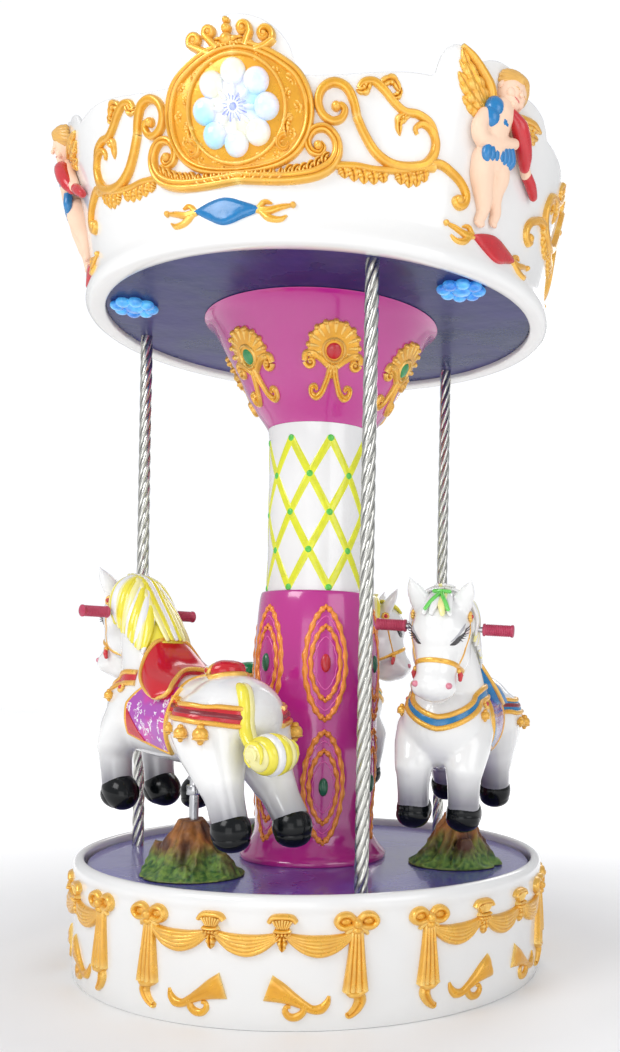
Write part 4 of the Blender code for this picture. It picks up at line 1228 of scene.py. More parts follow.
class CAROUSEL_OT_flowers(Operator):
    """Make the eight-bulb flower lamps in the medallions"""
    bl_idname = "carousel.flowers"
    bl_label = "Flower lamps"

    def execute(self, context):
        frosted = flower_material()
        heart = glow_material("violet lamp heart", (0.16, 0.22, 0.80), (0.50, 0.56, 0.92), 0.25, 60.0)
        for number, azimuth in enumerate(MEDALLIONS, 1):
            skin = Skin(CROWN_WALL, azimuth, RELIEF_RADIUS)
            clay = Clay()
            middle = 2.080
            boss(clay, skin, 0.0, middle, 0.086, 0.086, 0.012, 0, 48)
            for k in range(8):
                turn = math.radians(45.0 * k)
                boss(clay, skin, 0.0735 * math.sin(turn), middle + 0.0735 * math.cos(turn), 0.0300, 0.0300,
                     0.029, 0, 24)
                ridge(clay, skin, [(r * math.sin(turn), middle + r * math.cos(turn))
                                   for r in (0.022, 0.034, 0.048)], (0.004, 0.0075, 0.006), (0.020, 0.024, 0.020))
            boss(clay, skin, 0.0, middle, 0.030, 0.030, 0.0205, 0, 32)
            for k in range(16):
                turn = math.radians(22.5 * k)
                ridge(clay, skin, [(r * math.sin(turn), middle + r * math.cos(turn))
                                   for r in (0.013, 0.022, 0.031)], 0.0016, (0.0235, 0.0215, 0.017), 1, sides=4)
            boss(clay, skin, 0.0, middle, 0.0125, 0.0125, 0.0255, 1, 24)
            flower = clay.make("flower_lamp_%d" % number, [frosted, heart], 60.0)
            settle(flower, TURNING, "pale_lamp", "medallion_lamp_%d" % number)
        return {"FINISHED"}


# Cherubs

def cherub_limb(clay, skin, stops, slot, sides=16):
    """A limb given as (along, height, proud, radius) stops on the crown."""
    path = smooth_path([stop[:3] for stop in stops], 4)
    points = [skin.at(p[0], p[1], p[2]) for p in path]
    radii = [float(np.interp(k / (len(points) - 1), np.linspace(0, 1, len(stops)), [s[3] for s in stops]))
             for k in range(len(points))]
    rod(clay, points, radii, slot, sides)


def feathered_wing(clay, skin, root, tips, width):
    """A wing of overlapping feathers that fan out from its root."""
    for number, tip in enumerate(tips):
        leaf(clay, skin, root, tip, width, 0.020 - 0.0012 * number, 0.06 * (-1) ** number, 5, 2)


def kept_outside(thing, depth=0.006):
    """Push what would go through the crown wall back to just under its face."""
    heights = [point[1] for point in CROWN_WALL]
    radii = [point[0] for point in CROWN_WALL]
    for vertex in thing.data.vertices:
        x, y, z = vertex.co
        least = float(np.interp(z, heights, radii)) - depth
        reach = math.hypot(x, y)
        if reach < least:
            vertex.co = (x * least / reach, y * least / reach, z)


class CAROUSEL_OT_cherubs(Operator):
    """Make the three painted cherubs in relief on the crown"""
    bl_idname = "carousel.cherubs"
    bl_label = "Cherubs"

    def execute(self, context):
        flesh = paint("flesh", colours().flesh)
        # Hair with painted shade in its hollows and a painted highlight on its ridges.
        hair = relief_material("hair", (0.66, 0.34, 0.05), (0.36, 0.12, 0.01), (0.9, 0.6, 0.2), 0.0, 0.3)
        finishes = [flesh, hair, gold_paint(), paint("blue drape", colours().blue), paint("red sash", colours().red),
                    paint("lip rose", (0.62, 0.16, 0.13))]
        for number, azimuth in enumerate(CHERUBS, 1):
            skin = Skin(CROWN_WALL, azimuth, RELIEF_RADIUS)
            clay = Clay()
            for stops in (
                    ((-0.048, 2.190, 0.012, 0.022), (-0.066, 2.160, 0.012, 0.036), (-0.078, 2.110, 0.010, 0.038),
                     (-0.076, 2.070, 0.010, 0.036), (-0.072, 2.046, 0.010, 0.036)),
                    ((-0.092, 2.050, 0.010, 0.034), (-0.094, 2.015, 0.012, 0.031), (-0.084, 1.985, 0.010, 0.026),
                     (-0.074, 1.958, 0.008, 0.022), (-0.072, 1.935, 0.006, 0.016), (-0.080, 1.916, 0.006, 0.014)),
                    ((-0.052, 2.052, 0.010, 0.034), (-0.042, 2.022, 0.014, 0.030), (-0.042, 1.992, 0.010, 0.024),
                     (-0.034, 1.966, 0.008, 0.017), (-0.026, 1.945, 0.008, 0.014), (-0.030, 1.927, 0.006, 0.012)),
                    ((-0.112, 2.140, 0.014, 0.020), (-0.126, 2.110, 0.018, 0.021), (-0.116, 2.086, 0.024, 0.020),
                     (-0.080, 2.090, 0.030, 0.018), (-0.046, 2.098, 0.032, 0.015), (-0.022, 2.106, 0.030, 0.014)),
                    ((-0.034, 2.160, 0.014, 0.020), (-0.010, 2.140, 0.016, 0.018), (0.018, 2.110, 0.016, 0.016),
                     (0.044, 2.082, 0.014, 0.013))):
                cherub_limb(clay, skin, stops, 0)
            for toe in ((-0.088, 1.908, 0.010, 0.0085), (-0.080, 1.903, 0.012, 0.008), (-0.072, 1.906, 0.012, 0.007),
                        (-0.034, 1.918, 0.010, 0.0075), (-0.026, 1.917, 0.010, 0.007)):
                lump(clay, skin.at(*toe[:3]), (toe[3],) * 3, 0, sides=12, rows=8)
            body = fused(clay, "cherub_body_%d" % number, 0.0032, 4, finishes)
            kept_outside(body)
            settle(body, TURNING, "flesh", "cherub_%d" % number)
            clay = Clay()
            turn = Matrix.Rotation(math.radians(azimuth), 3, "Z")
            tilt = turn @ Matrix.Rotation(math.radians(24.0), 3, "Y") @ Matrix.Rotation(math.radians(14.0), 3, "X")
            centre = skin.at(-0.036, 2.214, 0.006)

            def on_head(across, out, up):
                return centre + tilt @ Vector((across, -out, up))
            lump(clay, centre, (0.0390, 0.0400, 0.0455), 0, tilt, 32, 20)
            lump(clay, on_head(0.000, 0.010, -0.024), (0.0270, 0.0290, 0.0220), 0, tilt, 24, 14)
            for side in (-1, 1):
                lump(clay, on_head(side * 0.0175, 0.0260, -0.0140), (0.0130, 0.0110, 0.0120), 0, tilt, 18, 12)
                lump(clay, on_head(side * 0.0140, 0.0335, 0.0030), (0.0090, 0.0055, 0.0045), 0, tilt, 16, 10)
                lump(clay, on_head(side * 0.0390, 0.0020, -0.0030), (0.0050, 0.0080, 0.0110), 0, tilt, 14, 10)
                rod(clay, [on_head(side * x, 0.0380 - 0.35 * x, 0.0112 + 0.05 * x) for x in (0.006, 0.013, 0.021)],
                    (0.0012, 0.0017, 0.0010), 1, 8)
                rod(clay, [on_head(side * x, 0.0395 - 0.30 * abs(x - 0.012), 0.0015 - 18.0 * (x - 0.014) ** 2)
                           for x in (0.008, 0.011, 0.014, 0.017, 0.020)], 0.0009, 1, 6)
            rod(clay, [on_head(0.0, 0.0365, 0.0080), on_head(0.0, 0.0400, 0.0000), on_head(0.0, 0.0445, -0.0080)],
                (0.0032, 0.0038, 0.0056), 0, 12)
            rod(clay, [on_head(x, 0.0375 - 9.0 * x * x, -0.0205 + 7.0 * x * x) for x in (-0.009, -0.004, 0.0, 0.004, 0.009)],
                (0.0012, 0.0024, 0.0021, 0.0024, 0.0012), 5, 8)
            lump(clay, on_head(0.0, 0.0310, -0.0330), (0.0095, 0.0080, 0.0070), 0, tilt, 16, 10)
            for k in range(13):
                sweep = math.radians(-112.0 + 224.0 * k / 12)
                lock = [on_head(0.041 * math.sin(sweep) * s, 0.010 + 0.026 * (1 - s) - 0.010 * s,
                                0.020 + 0.027 * math.cos(sweep) * s + 0.010 * (1 - s)) for s in (0.25, 0.6, 0.9, 1.1)]
                rod(clay, lock, (0.0105, 0.0125, 0.0115, 0.0075), 1, 12)
            lump(clay, on_head(0.0, -0.006, 0.018), (0.0405, 0.0385, 0.0330), 1, tilt, 28, 16)
            head = clay.make("cherub_head_%d" % number, finishes)
            kept_outside(head)
            settle(head, TURNING, "flesh")
            clay = Clay()
            left_tips = ((-0.186, 2.266), (-0.190, 2.240), (-0.190, 2.214), (-0.184, 2.190), (-0.172, 2.166), (-0.156, 2.144))
            feathered_wing(clay, skin, (-0.092, 2.152), left_tips, 0.0200)
            edge = smooth_path([(-0.088, 2.168, 0), (-0.100, 2.206, 0), (-0.128, 2.234, 0), (-0.160, 2.258, 0),
                                (-0.187, 2.272, 0)], 6)
            ridge(clay, skin, [(p[0], p[1]) for p in edge], (0.013, 0.013, 0.012, 0.010, 0.005), (0.024, 0.024, 0.020, 0.014), 2, vein=0.1)
            right_tips = ((0.106, 2.186), (0.104, 2.168), (0.092, 2.150), (0.074, 2.132), (0.054, 2.116))
            feathered_wing(clay, skin, (-0.004, 2.166), right_tips, 0.0150)
            edge = smooth_path([(-0.010, 2.176, 0), (0.030, 2.184, 0), (0.070, 2.190, 0), (0.110, 2.187, 0)], 6)
            ridge(clay, skin, [(p[0], p[1]) for p in edge], (0.010, 0.010, 0.009, 0.004), (0.022, 0.021, 0.018, 0.010), 2, vein=0.1)
            for k, (u, v, h, reach) in enumerate(((-0.090, 2.160, 0.030, 0.026), (-0.074, 2.134, 0.034, 0.026),
                                                  (-0.098, 2.138, 0.030, 0.026))):
                lump(clay, skin.at(u, v, h - 0.012), (reach, reach, reach * 1.2), 3, turn, 20, 12)
            for k in range(7):
                u = -0.108 + 0.0135 * k
                cherub_limb(clay, skin, ((u * 0.9 - 0.008, 2.078 + 0.14 * (u + 0.1), 0.030, 0.012),
                                         (u, 2.052 + 0.10 * (u + 0.1), 0.036, 0.0115),
                                         (-0.075 + (u + 0.07) * 0.6, 2.034, 0.030, 0.006)), 3, 10)
            cherub_limb(clay, skin, ((-0.040, 2.166, 0.026, 0.014), (-0.016, 2.146, 0.032, 0.022),
                                     (0.006, 2.118, 0.032, 0.022), (0.026, 2.092, 0.028, 0.019),
                                     (0.038, 2.076, 0.024, 0.014)), 4)
            cherub_limb(clay, skin, ((0.044, 2.080, 0.018, 0.014), (0.060, 2.066, 0.016, 0.013)), 0)
            cherub_limb(clay, skin, ((0.066, 2.064, 0.016, 0.014), (0.090, 2.050, 0.016, 0.0145),
                                     (0.114, 2.034, 0.014, 0.011)), 4)
            dress = clay.make("cherub_dress_%d" % number, finishes)
            kept_outside(dress)
            settle(dress, TURNING, "gilt")
        return {"FINISHED"}


# Poles

def steel_material():
    """Polished steel, finely brushed round the flutes, with painted shade darkening the grooves between them."""
    material, make, shader = base_material("twisted steel", **{"Metallic": 1.0})
    if make is not None:
        where = make.add("ShaderNodeTexCoord")
        streak = make.add("ShaderNodeMapping", {"Vector": (where, "Object"), "Scale": (60.0, 60.0, 6.0)})
        grain = make.add("ShaderNodeTexNoise", {"Vector": (streak, 0), "Scale": 5.0, "Detail": 4.0})
        shape = make.add("ShaderNodeNewGeometry")
        # Painted shade: the grooves between the flutes are darkened nearly to black.
        hollow = make.remap((shape, "Pointiness"), 0.44, 0.52, 1.0, 0.0)
        brushed_tone = make.mix((grain, "Fac"), (0.72, 0.71, 0.66, 1.0), (0.52, 0.52, 0.49, 1.0))
        groove_shaded = make.mix(hollow, brushed_tone, (0.10, 0.105, 0.095, 1.0))
        make.tree.links.new(groove_shaded[0].outputs[groove_shaded[1]], shader.inputs["Base Color"])
        rough = make.remap((grain, "Fac"), 0.3, 0.7, 0.16, 0.30)
        make.tree.links.new(rough[0].outputs[rough[1]], shader.inputs["Roughness"])
        bump = make.add("ShaderNodeBump", {"Strength": 0.1, "Distance": 0.001, "Height": (grain, "Fac")})
        make.tree.links.new(bump.outputs[0], shader.inputs["Normal"])
    return material


class CAROUSEL_OT_poles(Operator):
    """Make the three twisted steel poles between the deck and the ceiling"""
    bl_idname = "carousel.poles"
    bl_label = "Twisted poles"

    def execute(self, context):
        steel = steel_material()
        low = DECK_TOP + 0.0005
        high = CEILING - 0.0005
        strands = sizes().flutes
        for number, azimuth in enumerate(POLES, 1):
            middle = polar(POLE_CIRCLE, azimuth)
            clay = Clay()
            rings = []
            rows = 420
            for row in range(rows + 1):
                height = low + (high - low) * row / rows
                ring = []
                for k in range(50):
                    turn = 2 * math.pi * k / 50
                    phase = strands * turn - 2 * math.pi * height / sizes().twist * strands / 2.0
                    reach = POLE_RADIUS - 0.0042 * (1 - abs(math.cos(phase / 2))) ** 1.3
                    ring.append(middle + Vector((reach * math.cos(turn), reach * math.sin(turn), height)))
                rings.append(ring)
            clay.tube(rings, 0)
            pole = clay.make("twisted_pole_%d" % number, [steel], 70.0)
            settle(pole, TURNING, "steel", "pole_%d" % number)
        return {"FINISHED"}


# Rocks

def rock_material():
    """Painted rock: brown and rust peaks, painted shade that blackens the cracks, lighter ridges, moss green towards
    the foot.
    """
    material, make, shader = base_material("painted rock", **{"Specular IOR Level": 0.45})
    if make is not None:
        where = make.add("ShaderNodeTexCoord")
        parts = make.add("ShaderNodeSeparateXYZ", {"Vector": (where, "Object")})
        blotch = make.add("ShaderNodeTexNoise", {"Vector": (where, "Object"), "Scale": 14.0, "Detail": 6.0})
        fine = make.add("ShaderNodeTexNoise", {"Vector": (where, "Object"), "Scale": 70.0, "Detail": 5.0})
        shape = make.add("ShaderNodeNewGeometry")
        brown = make.mix(make.remap((blotch, "Fac"), 0.42, 0.62, 0.0, 1.0),
                         (0.085, 0.030, 0.016, 1.0), (0.34, 0.125, 0.025, 1.0))
        moss = make.mix(make.remap((fine, "Fac"), 0.35, 0.68, 0.0, 1.0),
                        (0.025, 0.100, 0.022, 1.0), (0.20, 0.33, 0.060, 1.0))
        lift = make.add("ShaderNodeMath", {0: (blotch, "Fac"), 1: -0.16, 2: (parts, "Z")},
                        operation="MULTIPLY_ADD")
        foot = make.remap((lift, 0), 0.235, 0.285, 1.0, 0.0)
        skin = make.mix(foot, brown, moss)
        # Painted shade: the cracks are darkened nearly to black.
        crack = make.remap((shape, "Pointiness"), 0.43, 0.495, 0.85, 0.0)
        dark = make.mix(crack, skin, (0.022, 0.014, 0.010, 1.0))
        # The ridges are lightened towards a tan brown.
        ridge_lightened = make.mix(make.remap((shape, "Pointiness"), 0.52, 0.62, 0.0, 0.5), dark, (0.40, 0.25, 0.10, 1.0))
        make.tree.links.new(ridge_lightened[0].outputs[ridge_lightened[1]], shader.inputs["Base Color"])
        rough = make.remap((fine, "Fac"), 0.3, 0.7, 0.38, 0.65)
        make.tree.links.new(rough[0].outputs[rough[1]], shader.inputs["Roughness"])
        bump = make.add("ShaderNodeBump", {"Strength": 0.6, "Distance": 0.006, "Height": (fine, "Fac")})
        make.tree.links.new(bump.outputs[0], shader.inputs["Normal"])
    return material


class CAROUSEL_OT_rocks(Operator):
    """Make the three painted rocks under the horses"""
    bl_idname = "carousel.rocks"
    bl_label = "Rocks"

    def execute(self, context):
        finish = rock_material()
        for number, azimuth in enumerate(HORSES, 1):
            middle = polar(HORSE_CIRCLE, azimuth)
            turn = Matrix.Rotation(math.radians(azimuth + 180.0), 3, "Z")
            clay = Clay()
            for centre, foot, low, high in (((0.004, 0.004), 0.112, DECK_TOP + 0.0006, 0.4345),
                                            ((0.082, 0.042), 0.052, DECK_TOP + 0.0008, 0.372),
                                            ((-0.078, -0.030), 0.056, DECK_TOP + 0.0008, 0.352),
                                            ((-0.055, 0.062), 0.050, DECK_TOP + 0.0008, 0.330),
                                            ((0.050, -0.066), 0.054, DECK_TOP + 0.0008, 0.338)):
                rings = []
                for row in range(41):
                    t = row / 40
                    ring = []
                    for k in range(84):
                        around = 2 * math.pi * k / 84
                        way = Vector((math.cos(around), math.sin(around), 0.0))
                        probe = Vector((way.x * 1.7 + 9.0 * centre[0], way.y * 1.7 + number, t * 1.3))
                        crag = 1.0 - 2.0 * abs(noise.noise(probe * 1.35))
                        chip = noise.fractal(probe * 3.6, 0.8, 2.2, 3)
                        flare = 0.26 * max(0.0, 1.0 - t / 0.22) ** 2
                        reach = foot * (0.97 - 0.66 * t + flare) * (0.90 + 0.26 * crag + 0.11 * chip)
                        local = Vector((centre[0] + way.x * reach, centre[1] + way.y * reach * 0.94, 0.0))
                        away = math.hypot(local.x, local.y)
                        local *= min(1.0, 0.134 / away)
                        jag = 0.010 * noise.noise(probe * 2.4) * t
                        height = low + (high - low - 0.008) * t + jag
                        ring.append(middle + turn @ local + Vector((0, 0, max(low, min(high, height)))))
                    rings.append(ring)
                clay.tube(rings, 0)
            rock = fused(clay, "rock_mound_%d" % number, 0.0040, 1, [finish])
            settle(rock, TURNING, "rock", "rock_%d" % number)
        return {"FINISHED"}


# Horses, each built facing +X with its middle on the post, in its own frame

def horse_stand(number):
    """A horse's frame in the carousel: nose down and leaning out by its own angles."""
    azimuth = HORSES[number - 1]
    place = Matrix.Translation(polar(HORSE_CIRCLE, azimuth)) @ Matrix.Rotation(math.radians(azimuth + 180.0), 4, "Z")
    pivot = Matrix.Translation((0.0, 0.0, POST_TOP))
    pitch = Matrix.Rotation(math.radians(HORSE_PITCH[number - 1]), 4, "Y")
    lean = Matrix.Rotation(math.radians(-HORSE_LEAN[number - 1]), 4, "X")
    return place @ pivot @ pitch @ lean @ pivot.inverted()


def horse_coat():
    """White gel coat with a smoky airbrushed shade above the hooves and painted shade greying the hollows."""
    material, make, shader = base_material("horse coat", **{"Coat Weight": 0.7, "Coat Roughness": 0.05,
                                                            "Specular IOR Level": 0.5})
    if make is not None:
        effect = make.add("ShaderNodeGroup", node_tree=gel_coat_effect())
        effect.inputs["Gloss"].default_value = 0.15
        effect.inputs["Tone"].default_value = 0.05
        effect.inputs["Ripple"].default_value = 0.03
        where = make.add("ShaderNodeTexCoord")
        parts = make.add("ShaderNodeSeparateXYZ", {"Vector": (where, "Object")})
        cloud = make.add("ShaderNodeTexNoise", {"Vector": (where, "Object"), "Scale": 6.0})
        drift = make.add("ShaderNodeMath", {0: (cloud, "Fac"), 1: 0.05, 2: (parts, "Z")}, operation="MULTIPLY_ADD")
        fore = make.remap((parts, "X"), -0.10, 0.10, 0.0, -0.052)
        level = make.add("ShaderNodeMath", {0: (drift, 0), 1: fore}, operation="ADD")
        smoke = make.remap((level, 0), 0.482, 0.580, 0.85, 0.0)
        white = (*colours().white, 1.0)
        shaded = make.mix(smoke, white, (0.13, 0.125, 0.16, 1.0))
        shape = make.add("ShaderNodeNewGeometry")
        # Painted shade: the hollows of the body are greyed.
        hollow = make.remap((shape, "Pointiness"), 0.42, 0.495, 0.30, 0.0)
        final = make.mix(hollow, shaded, (0.42, 0.42, 0.46, 1.0))
        make.tree.links.new(final[0].outputs[final[1]], effect.inputs["Colour"])
        make.tree.links.new(effect.outputs["Colour"], shader.inputs["Base Color"])
        make.tree.links.new(effect.outputs["Roughness"], shader.inputs["Roughness"])
        make.tree.links.new(effect.outputs["Normal"], shader.inputs["Normal"])
    return material


def horse_figure():
    """The horse without hooves, tack, mane or tail, as clay."""
    clay = Clay()
    rod(clay, ((0.190, 0, 0.702), (0.080, 0, 0.688), (-0.040, 0, 0.681), (-0.130, 0, 0.688)),
        (0.116, 0.115, 0.117, 0.118), sides=36)
    rod(clay, ((0.150, 0, 0.760), (0.194, 0, 0.850), (0.236, 0, 0.925), (0.270, 0, 0.975)),
        (0.103, 0.084, 0.068, 0.064), sides=36)
    rod(clay, ((0.312, 0, 0.936), (0.334, 0, 0.890), (0.350, 0, 0.852)), (0.068, 0.055, 0.049), sides=36)
    for centre, reach in (((0.210, 0, 0.705), (0.102, 0.112, 0.112)), ((-0.160, 0, 0.697), (0.116, 0.132, 0.106)),
                          ((-0.110, 0, 0.735), (0.105, 0.096, 0.062)), ((0.292, 0, 0.956), (0.098, 0.075, 0.089)),
                          ((0.357, 0, 0.832), (0.057, 0.054, 0.047)), ((0.336, 0, 0.806), (0.042, 0.040, 0.026))):
        lump(clay, centre, reach, sides=36, rows=20)
    for side in (-1, 1):
        lump(clay, (0.288, side * 0.034, 0.905), (0.056, 0.040, 0.062), sides=28, rows=16)
        lump(clay, (0.340, side * 0.048, 0.962), (0.024, 0.020, 0.020))
        lump(clay, (0.372, side * 0.031, 0.826), (0.028, 0.026, 0.028))
        rod(clay, ((0.306, side * 0.040, 1.006), (0.318, side * 0.055, 1.036), (0.330, side * 0.068, 1.062),
                   (0.340, side * 0.077, 1.086)), (0.0290, 0.0275, 0.0190, 0.005), 0, 20, 0.62, up=(1, 0, 0))
        rod(clay, ((0.196, side * 0.060, 0.690), (0.232, side * 0.064, 0.648), (0.262, side * 0.067, 0.605)),
            (0.068, 0.062, 0.050), sides=24)
        rod(clay, ((0.262, side * 0.065, 0.612), (0.262, side * 0.066, 0.565), (0.256, side * 0.066, 0.530),
                   (0.250, side * 0.066, 0.500)), (0.049, 0.043, 0.041, 0.042), sides=24)
        back = -0.250 if side > 0 else -0.290
        rod(clay, ((-0.150, side * 0.067, 0.672), (-0.178, side * 0.072, 0.610), (-0.215, side * 0.078, 0.540)),
            (0.096, 0.082, 0.056), sides=24)
        rod(clay, ((-0.210, side * 0.078, 0.555), (-0.5 * 0.215 + 0.5 * back, side * 0.078, 0.498),
                   (back, side * 0.078, 0.452)), (0.056, 0.046, 0.044), sides=24)
    return clay


class Hide:
    """A surface that straps, blankets and saddles lie on."""

    def __init__(self, thing):
        work = bmesh.new()
        work.from_mesh(thing.data)
        self.tree = BVHTree.FromBMesh(work)
        work.free()

    def near(self, point):
        place, normal, _, _ = self.tree.find_nearest(Vector(point))
        return place, normal

    def cast(self, origin, direction):
        place, normal, _, _ = self.tree.ray_cast(Vector(origin), Vector(direction).normalized())
        if place is None:
            return self.near(origin)
        return place, normal


def strap(clay, hide, guesses, width, height, slot=0, sides=8, vein=0.0, closed=False, sink=0.002):
    """A strap that hugs the hide along a path of guesses near it."""
    path = [hide.near(point) for point in guesses]
    count = len(path)
    rings = []
    for i, (place, normal) in enumerate(path):
        before = path[i - 1][0] if (i or closed) else place
        after = path[(i + 1) % count][0] if (i < count - 1 or closed) else place
        along = (after - before).normalized()
        across = normal.cross(along).normalized()
        t = i / (count - 1)
        wide = spread(width, t)
        high = spread(height, t)
        ring = []
        for k in range(sides + 1):
            turn = math.pi * k / sides
            spot, up = hide.near(place + across * wide * math.cos(turn))
            groove = 1.0 - vein * math.exp(-(math.cos(turn) / 0.3) ** 2)
            ring.append(spot + up * (high * math.sin(turn) ** 0.5 * groove - sink))
        ring.append(place - normal * (sink + 0.002))
        rings.append(ring)
    clay.tube(rings, slot, closed=closed)


def edged_strap(clay, hide, guesses, width, height, colour_slot, gold_slot, up=(0, 0, 1), stripe=None, edge=0.30):
    """A painted band between two gold cords."""
    strap(clay, hide, guesses, width, height, colour_slot, sides=8)
    lift = Vector(up)
    for side in (-1, 1):
        strap(clay, hide, [Vector(p) + lift * side * width for p in guesses], width * edge, height * 1.7, gold_slot)
    if stripe is not None:
        strap(clay, hide, guesses, width * 0.36, height * 1.25, stripe)


def bell(clay, hide, guess, size, slot):
    """A round bell hanging on a strap: cap, body, rim and clapper."""
    place, normal = hide.near(guess)
    out = place + normal * size * 0.55
    for centre, reach in ((0.55, (0.45, 0.45, 0.40)), (-0.30, (0.94, 0.94, 0.90)), (-0.78, (1.00, 1.00, 0.24)),
                          (-1.20, (0.36, 0.36, 0.34))):
        lump(clay, out + Vector((0, 0, centre * size)), tuple(size * r for r in reach), slot, sides=20)


def hug(hide, points, lift=0.0):
    """Points moved onto the hide, or a little above it."""
    return [spot + up * lift for spot, up in (hide.near(point) for point in points)]


def eye(clay, hide, side):
    """A half-closed eye: a slanted dark almond with lashes and a soft crease of painted grey shade over it. Slots 2 and
    3.
    """
    inner, low, middle, outer = hug(hide, ((0.370, side * 0.034, 0.930), (0.362, side * 0.046, 0.936),
                                           (0.353, side * 0.057, 0.948), (0.336, side * 0.070, 0.967)))
    strap(clay, hide, smooth_path([inner, low, middle, outer], 7), (0.0010, 0.0060, 0.0076, 0.0060, 0.0012),
          (0.0012, 0.0026, 0.0030, 0.0026, 0.0012), 2, sink=0.0006)
    # The crease is a grey strap of painted shade over the eye.
    rise = Vector((-0.003, 0, 0.0150))
    crease = [inner + rise * 0.6, low + rise, middle + rise * 1.25, outer + rise * 0.9]
    strap(clay, hide, smooth_path(crease, 7), (0.0010, 0.0036, 0.0040, 0.0012), 0.0014, 3, sink=0.0006)
    for k in range(6):
        root, up = hide.near(low.lerp(outer, 0.25 + 0.15 * k))
        tip = root + up * 0.005 + Vector((-0.006, side * 0.007, -0.0035 + 0.0032 * k))
        rod(clay, [root + up * 0.001, (root + tip) / 2 + up * 0.002, tip], (0.0016, 0.0013, 0.0004), 2, 6)


def mane_point(hide, along, angle, lift):
    """A point over the neck: along runs from the poll to the withers, angle is measured from the crest."""
    heart = Vector((0.272, 0.0, 0.962)).lerp(Vector((0.118, 0.0, 0.800)), along)
    crest = Vector((0.12, 0.0, 1.0)).lerp(Vector((-0.85, 0.0, 0.60)), min(1.0, along * 1.1)).normalized()
    out = crest * math.cos(math.radians(angle)) + Vector((0, 1, 0)) * math.sin(math.radians(angle))
    spot, _ = hide.cast(heart + out * 0.25, -out)
    return spot + out * lift


def mane_edge(along):
    """How far down the neck's side the mane reaches, as an angle from the crest."""
    return 94.0 - 40.0 * along


def mane_depth(along, angle):
    """How thick the hair lies at a place on the neck."""
    share = min(1.0, abs(angle) / mane_edge(along))
    return 0.005 + 0.016 * (1.0 - share ** 2.2) * (0.55 + 0.45 * math.sin(math.pi * min(1.0, 0.18 + along)))


def lock_of_hair(clay, points, radius, slot, flat=0.6, up=(0, 1, 0.2)):
    """A tapering lock that swells in its middle."""
    path = smooth_path(points, 5)
    radii = [radius * (0.30 + 0.80 * math.sin(math.pi * (0.14 + 0.76 * k / (len(path) - 1))) ** 0.8)
             for k in range(len(path))]
    rod(clay, path, radii, slot, 12, flat, up=up)


def mane(clay, hide, slots, forelock):
    """A cap of hair over the crest, locks that fan from the poll over it, and a forelock."""
    rows, columns = 26, 30
    top, under = [], []
    for i in range(rows + 1):
        along = 0.78 * i / rows
        angles = [mane_edge(along) * (2.0 * j / columns - 1.0) for j in range(columns + 1)]
        top.append([mane_point(hide, along, angle, mane_depth(along, angle)) for angle in angles])
        under.append([mane_point(hide, along, angle, -0.004) for angle in angles])
    clay.sheet(top, under, slots[0])
    count = 19
    for side in (-1, 1):
        for k in range(count):
            f = k / (count - 1)
            start, end = 0.01 + 0.32 * f, 0.04 + 0.75 * f ** 0.95
            reach = mane_edge(end) + 3.0 + 4.0 * math.sin(2.1 * k)
            points = []
            for j in range(7):
                g = j / 6
                along = start + (end - start) * g ** 0.85
                angle = (3.0 + (reach - 3.0) * g + 2.5 * math.sin(5.0 * g + 1.9 * k)) * side
                points.append(mane_point(hide, along, angle, mane_depth(along, angle) + 0.0030 + 0.002 * g))
            out = mane_point(hide, 0.5 * (start + end), 45.0 * side, 0.05) - mane_point(hide, 0.5 * (start + end), 45.0 * side, 0.0)
            lock_of_hair(clay, points, 0.0098 + 0.0022 * (k % 3), slots[(k + (side > 0)) % len(slots)], 0.62, out)
    for k in range(5):
        lean = (k - 2) * 5.0
        points = [mane_point(hide, along, lean * (1 + along), 0.026) for along in (0.0, 0.2, 0.4, 0.6, 0.78)]
        lock_of_hair(clay, points, 0.0100, slots[(k + 1) % len(slots)], 0.7, (-0.6, 0, 0.8))
    for k, side in enumerate((-1.0, -0.35, 0.35, 1.0)):
        tip = forelock * (1.0 - 0.25 * abs(side))
        points = hug(hide, ((0.285, side * 0.012, 1.05), (0.320, side * 0.018, 1.045),
                            (0.345 + 0.3 * tip, side * 0.022, 1.030 - 0.4 * tip), (0.360, side * 0.026, 1.020 - tip)), 0.006)
        lock_of_hair(clay, points, 0.0105, slots[k % len(slots)], 0.6, (1, 0, 0.6))


def hug_ball(centre, spots, turn):
    """Points on one end of the tail's ball."""
    return [centre + Vector((x, turn * (0.064 * math.sqrt(1.0 - (x * x + z * z) / 0.0030) + 0.001), z)) for x, z in spots]


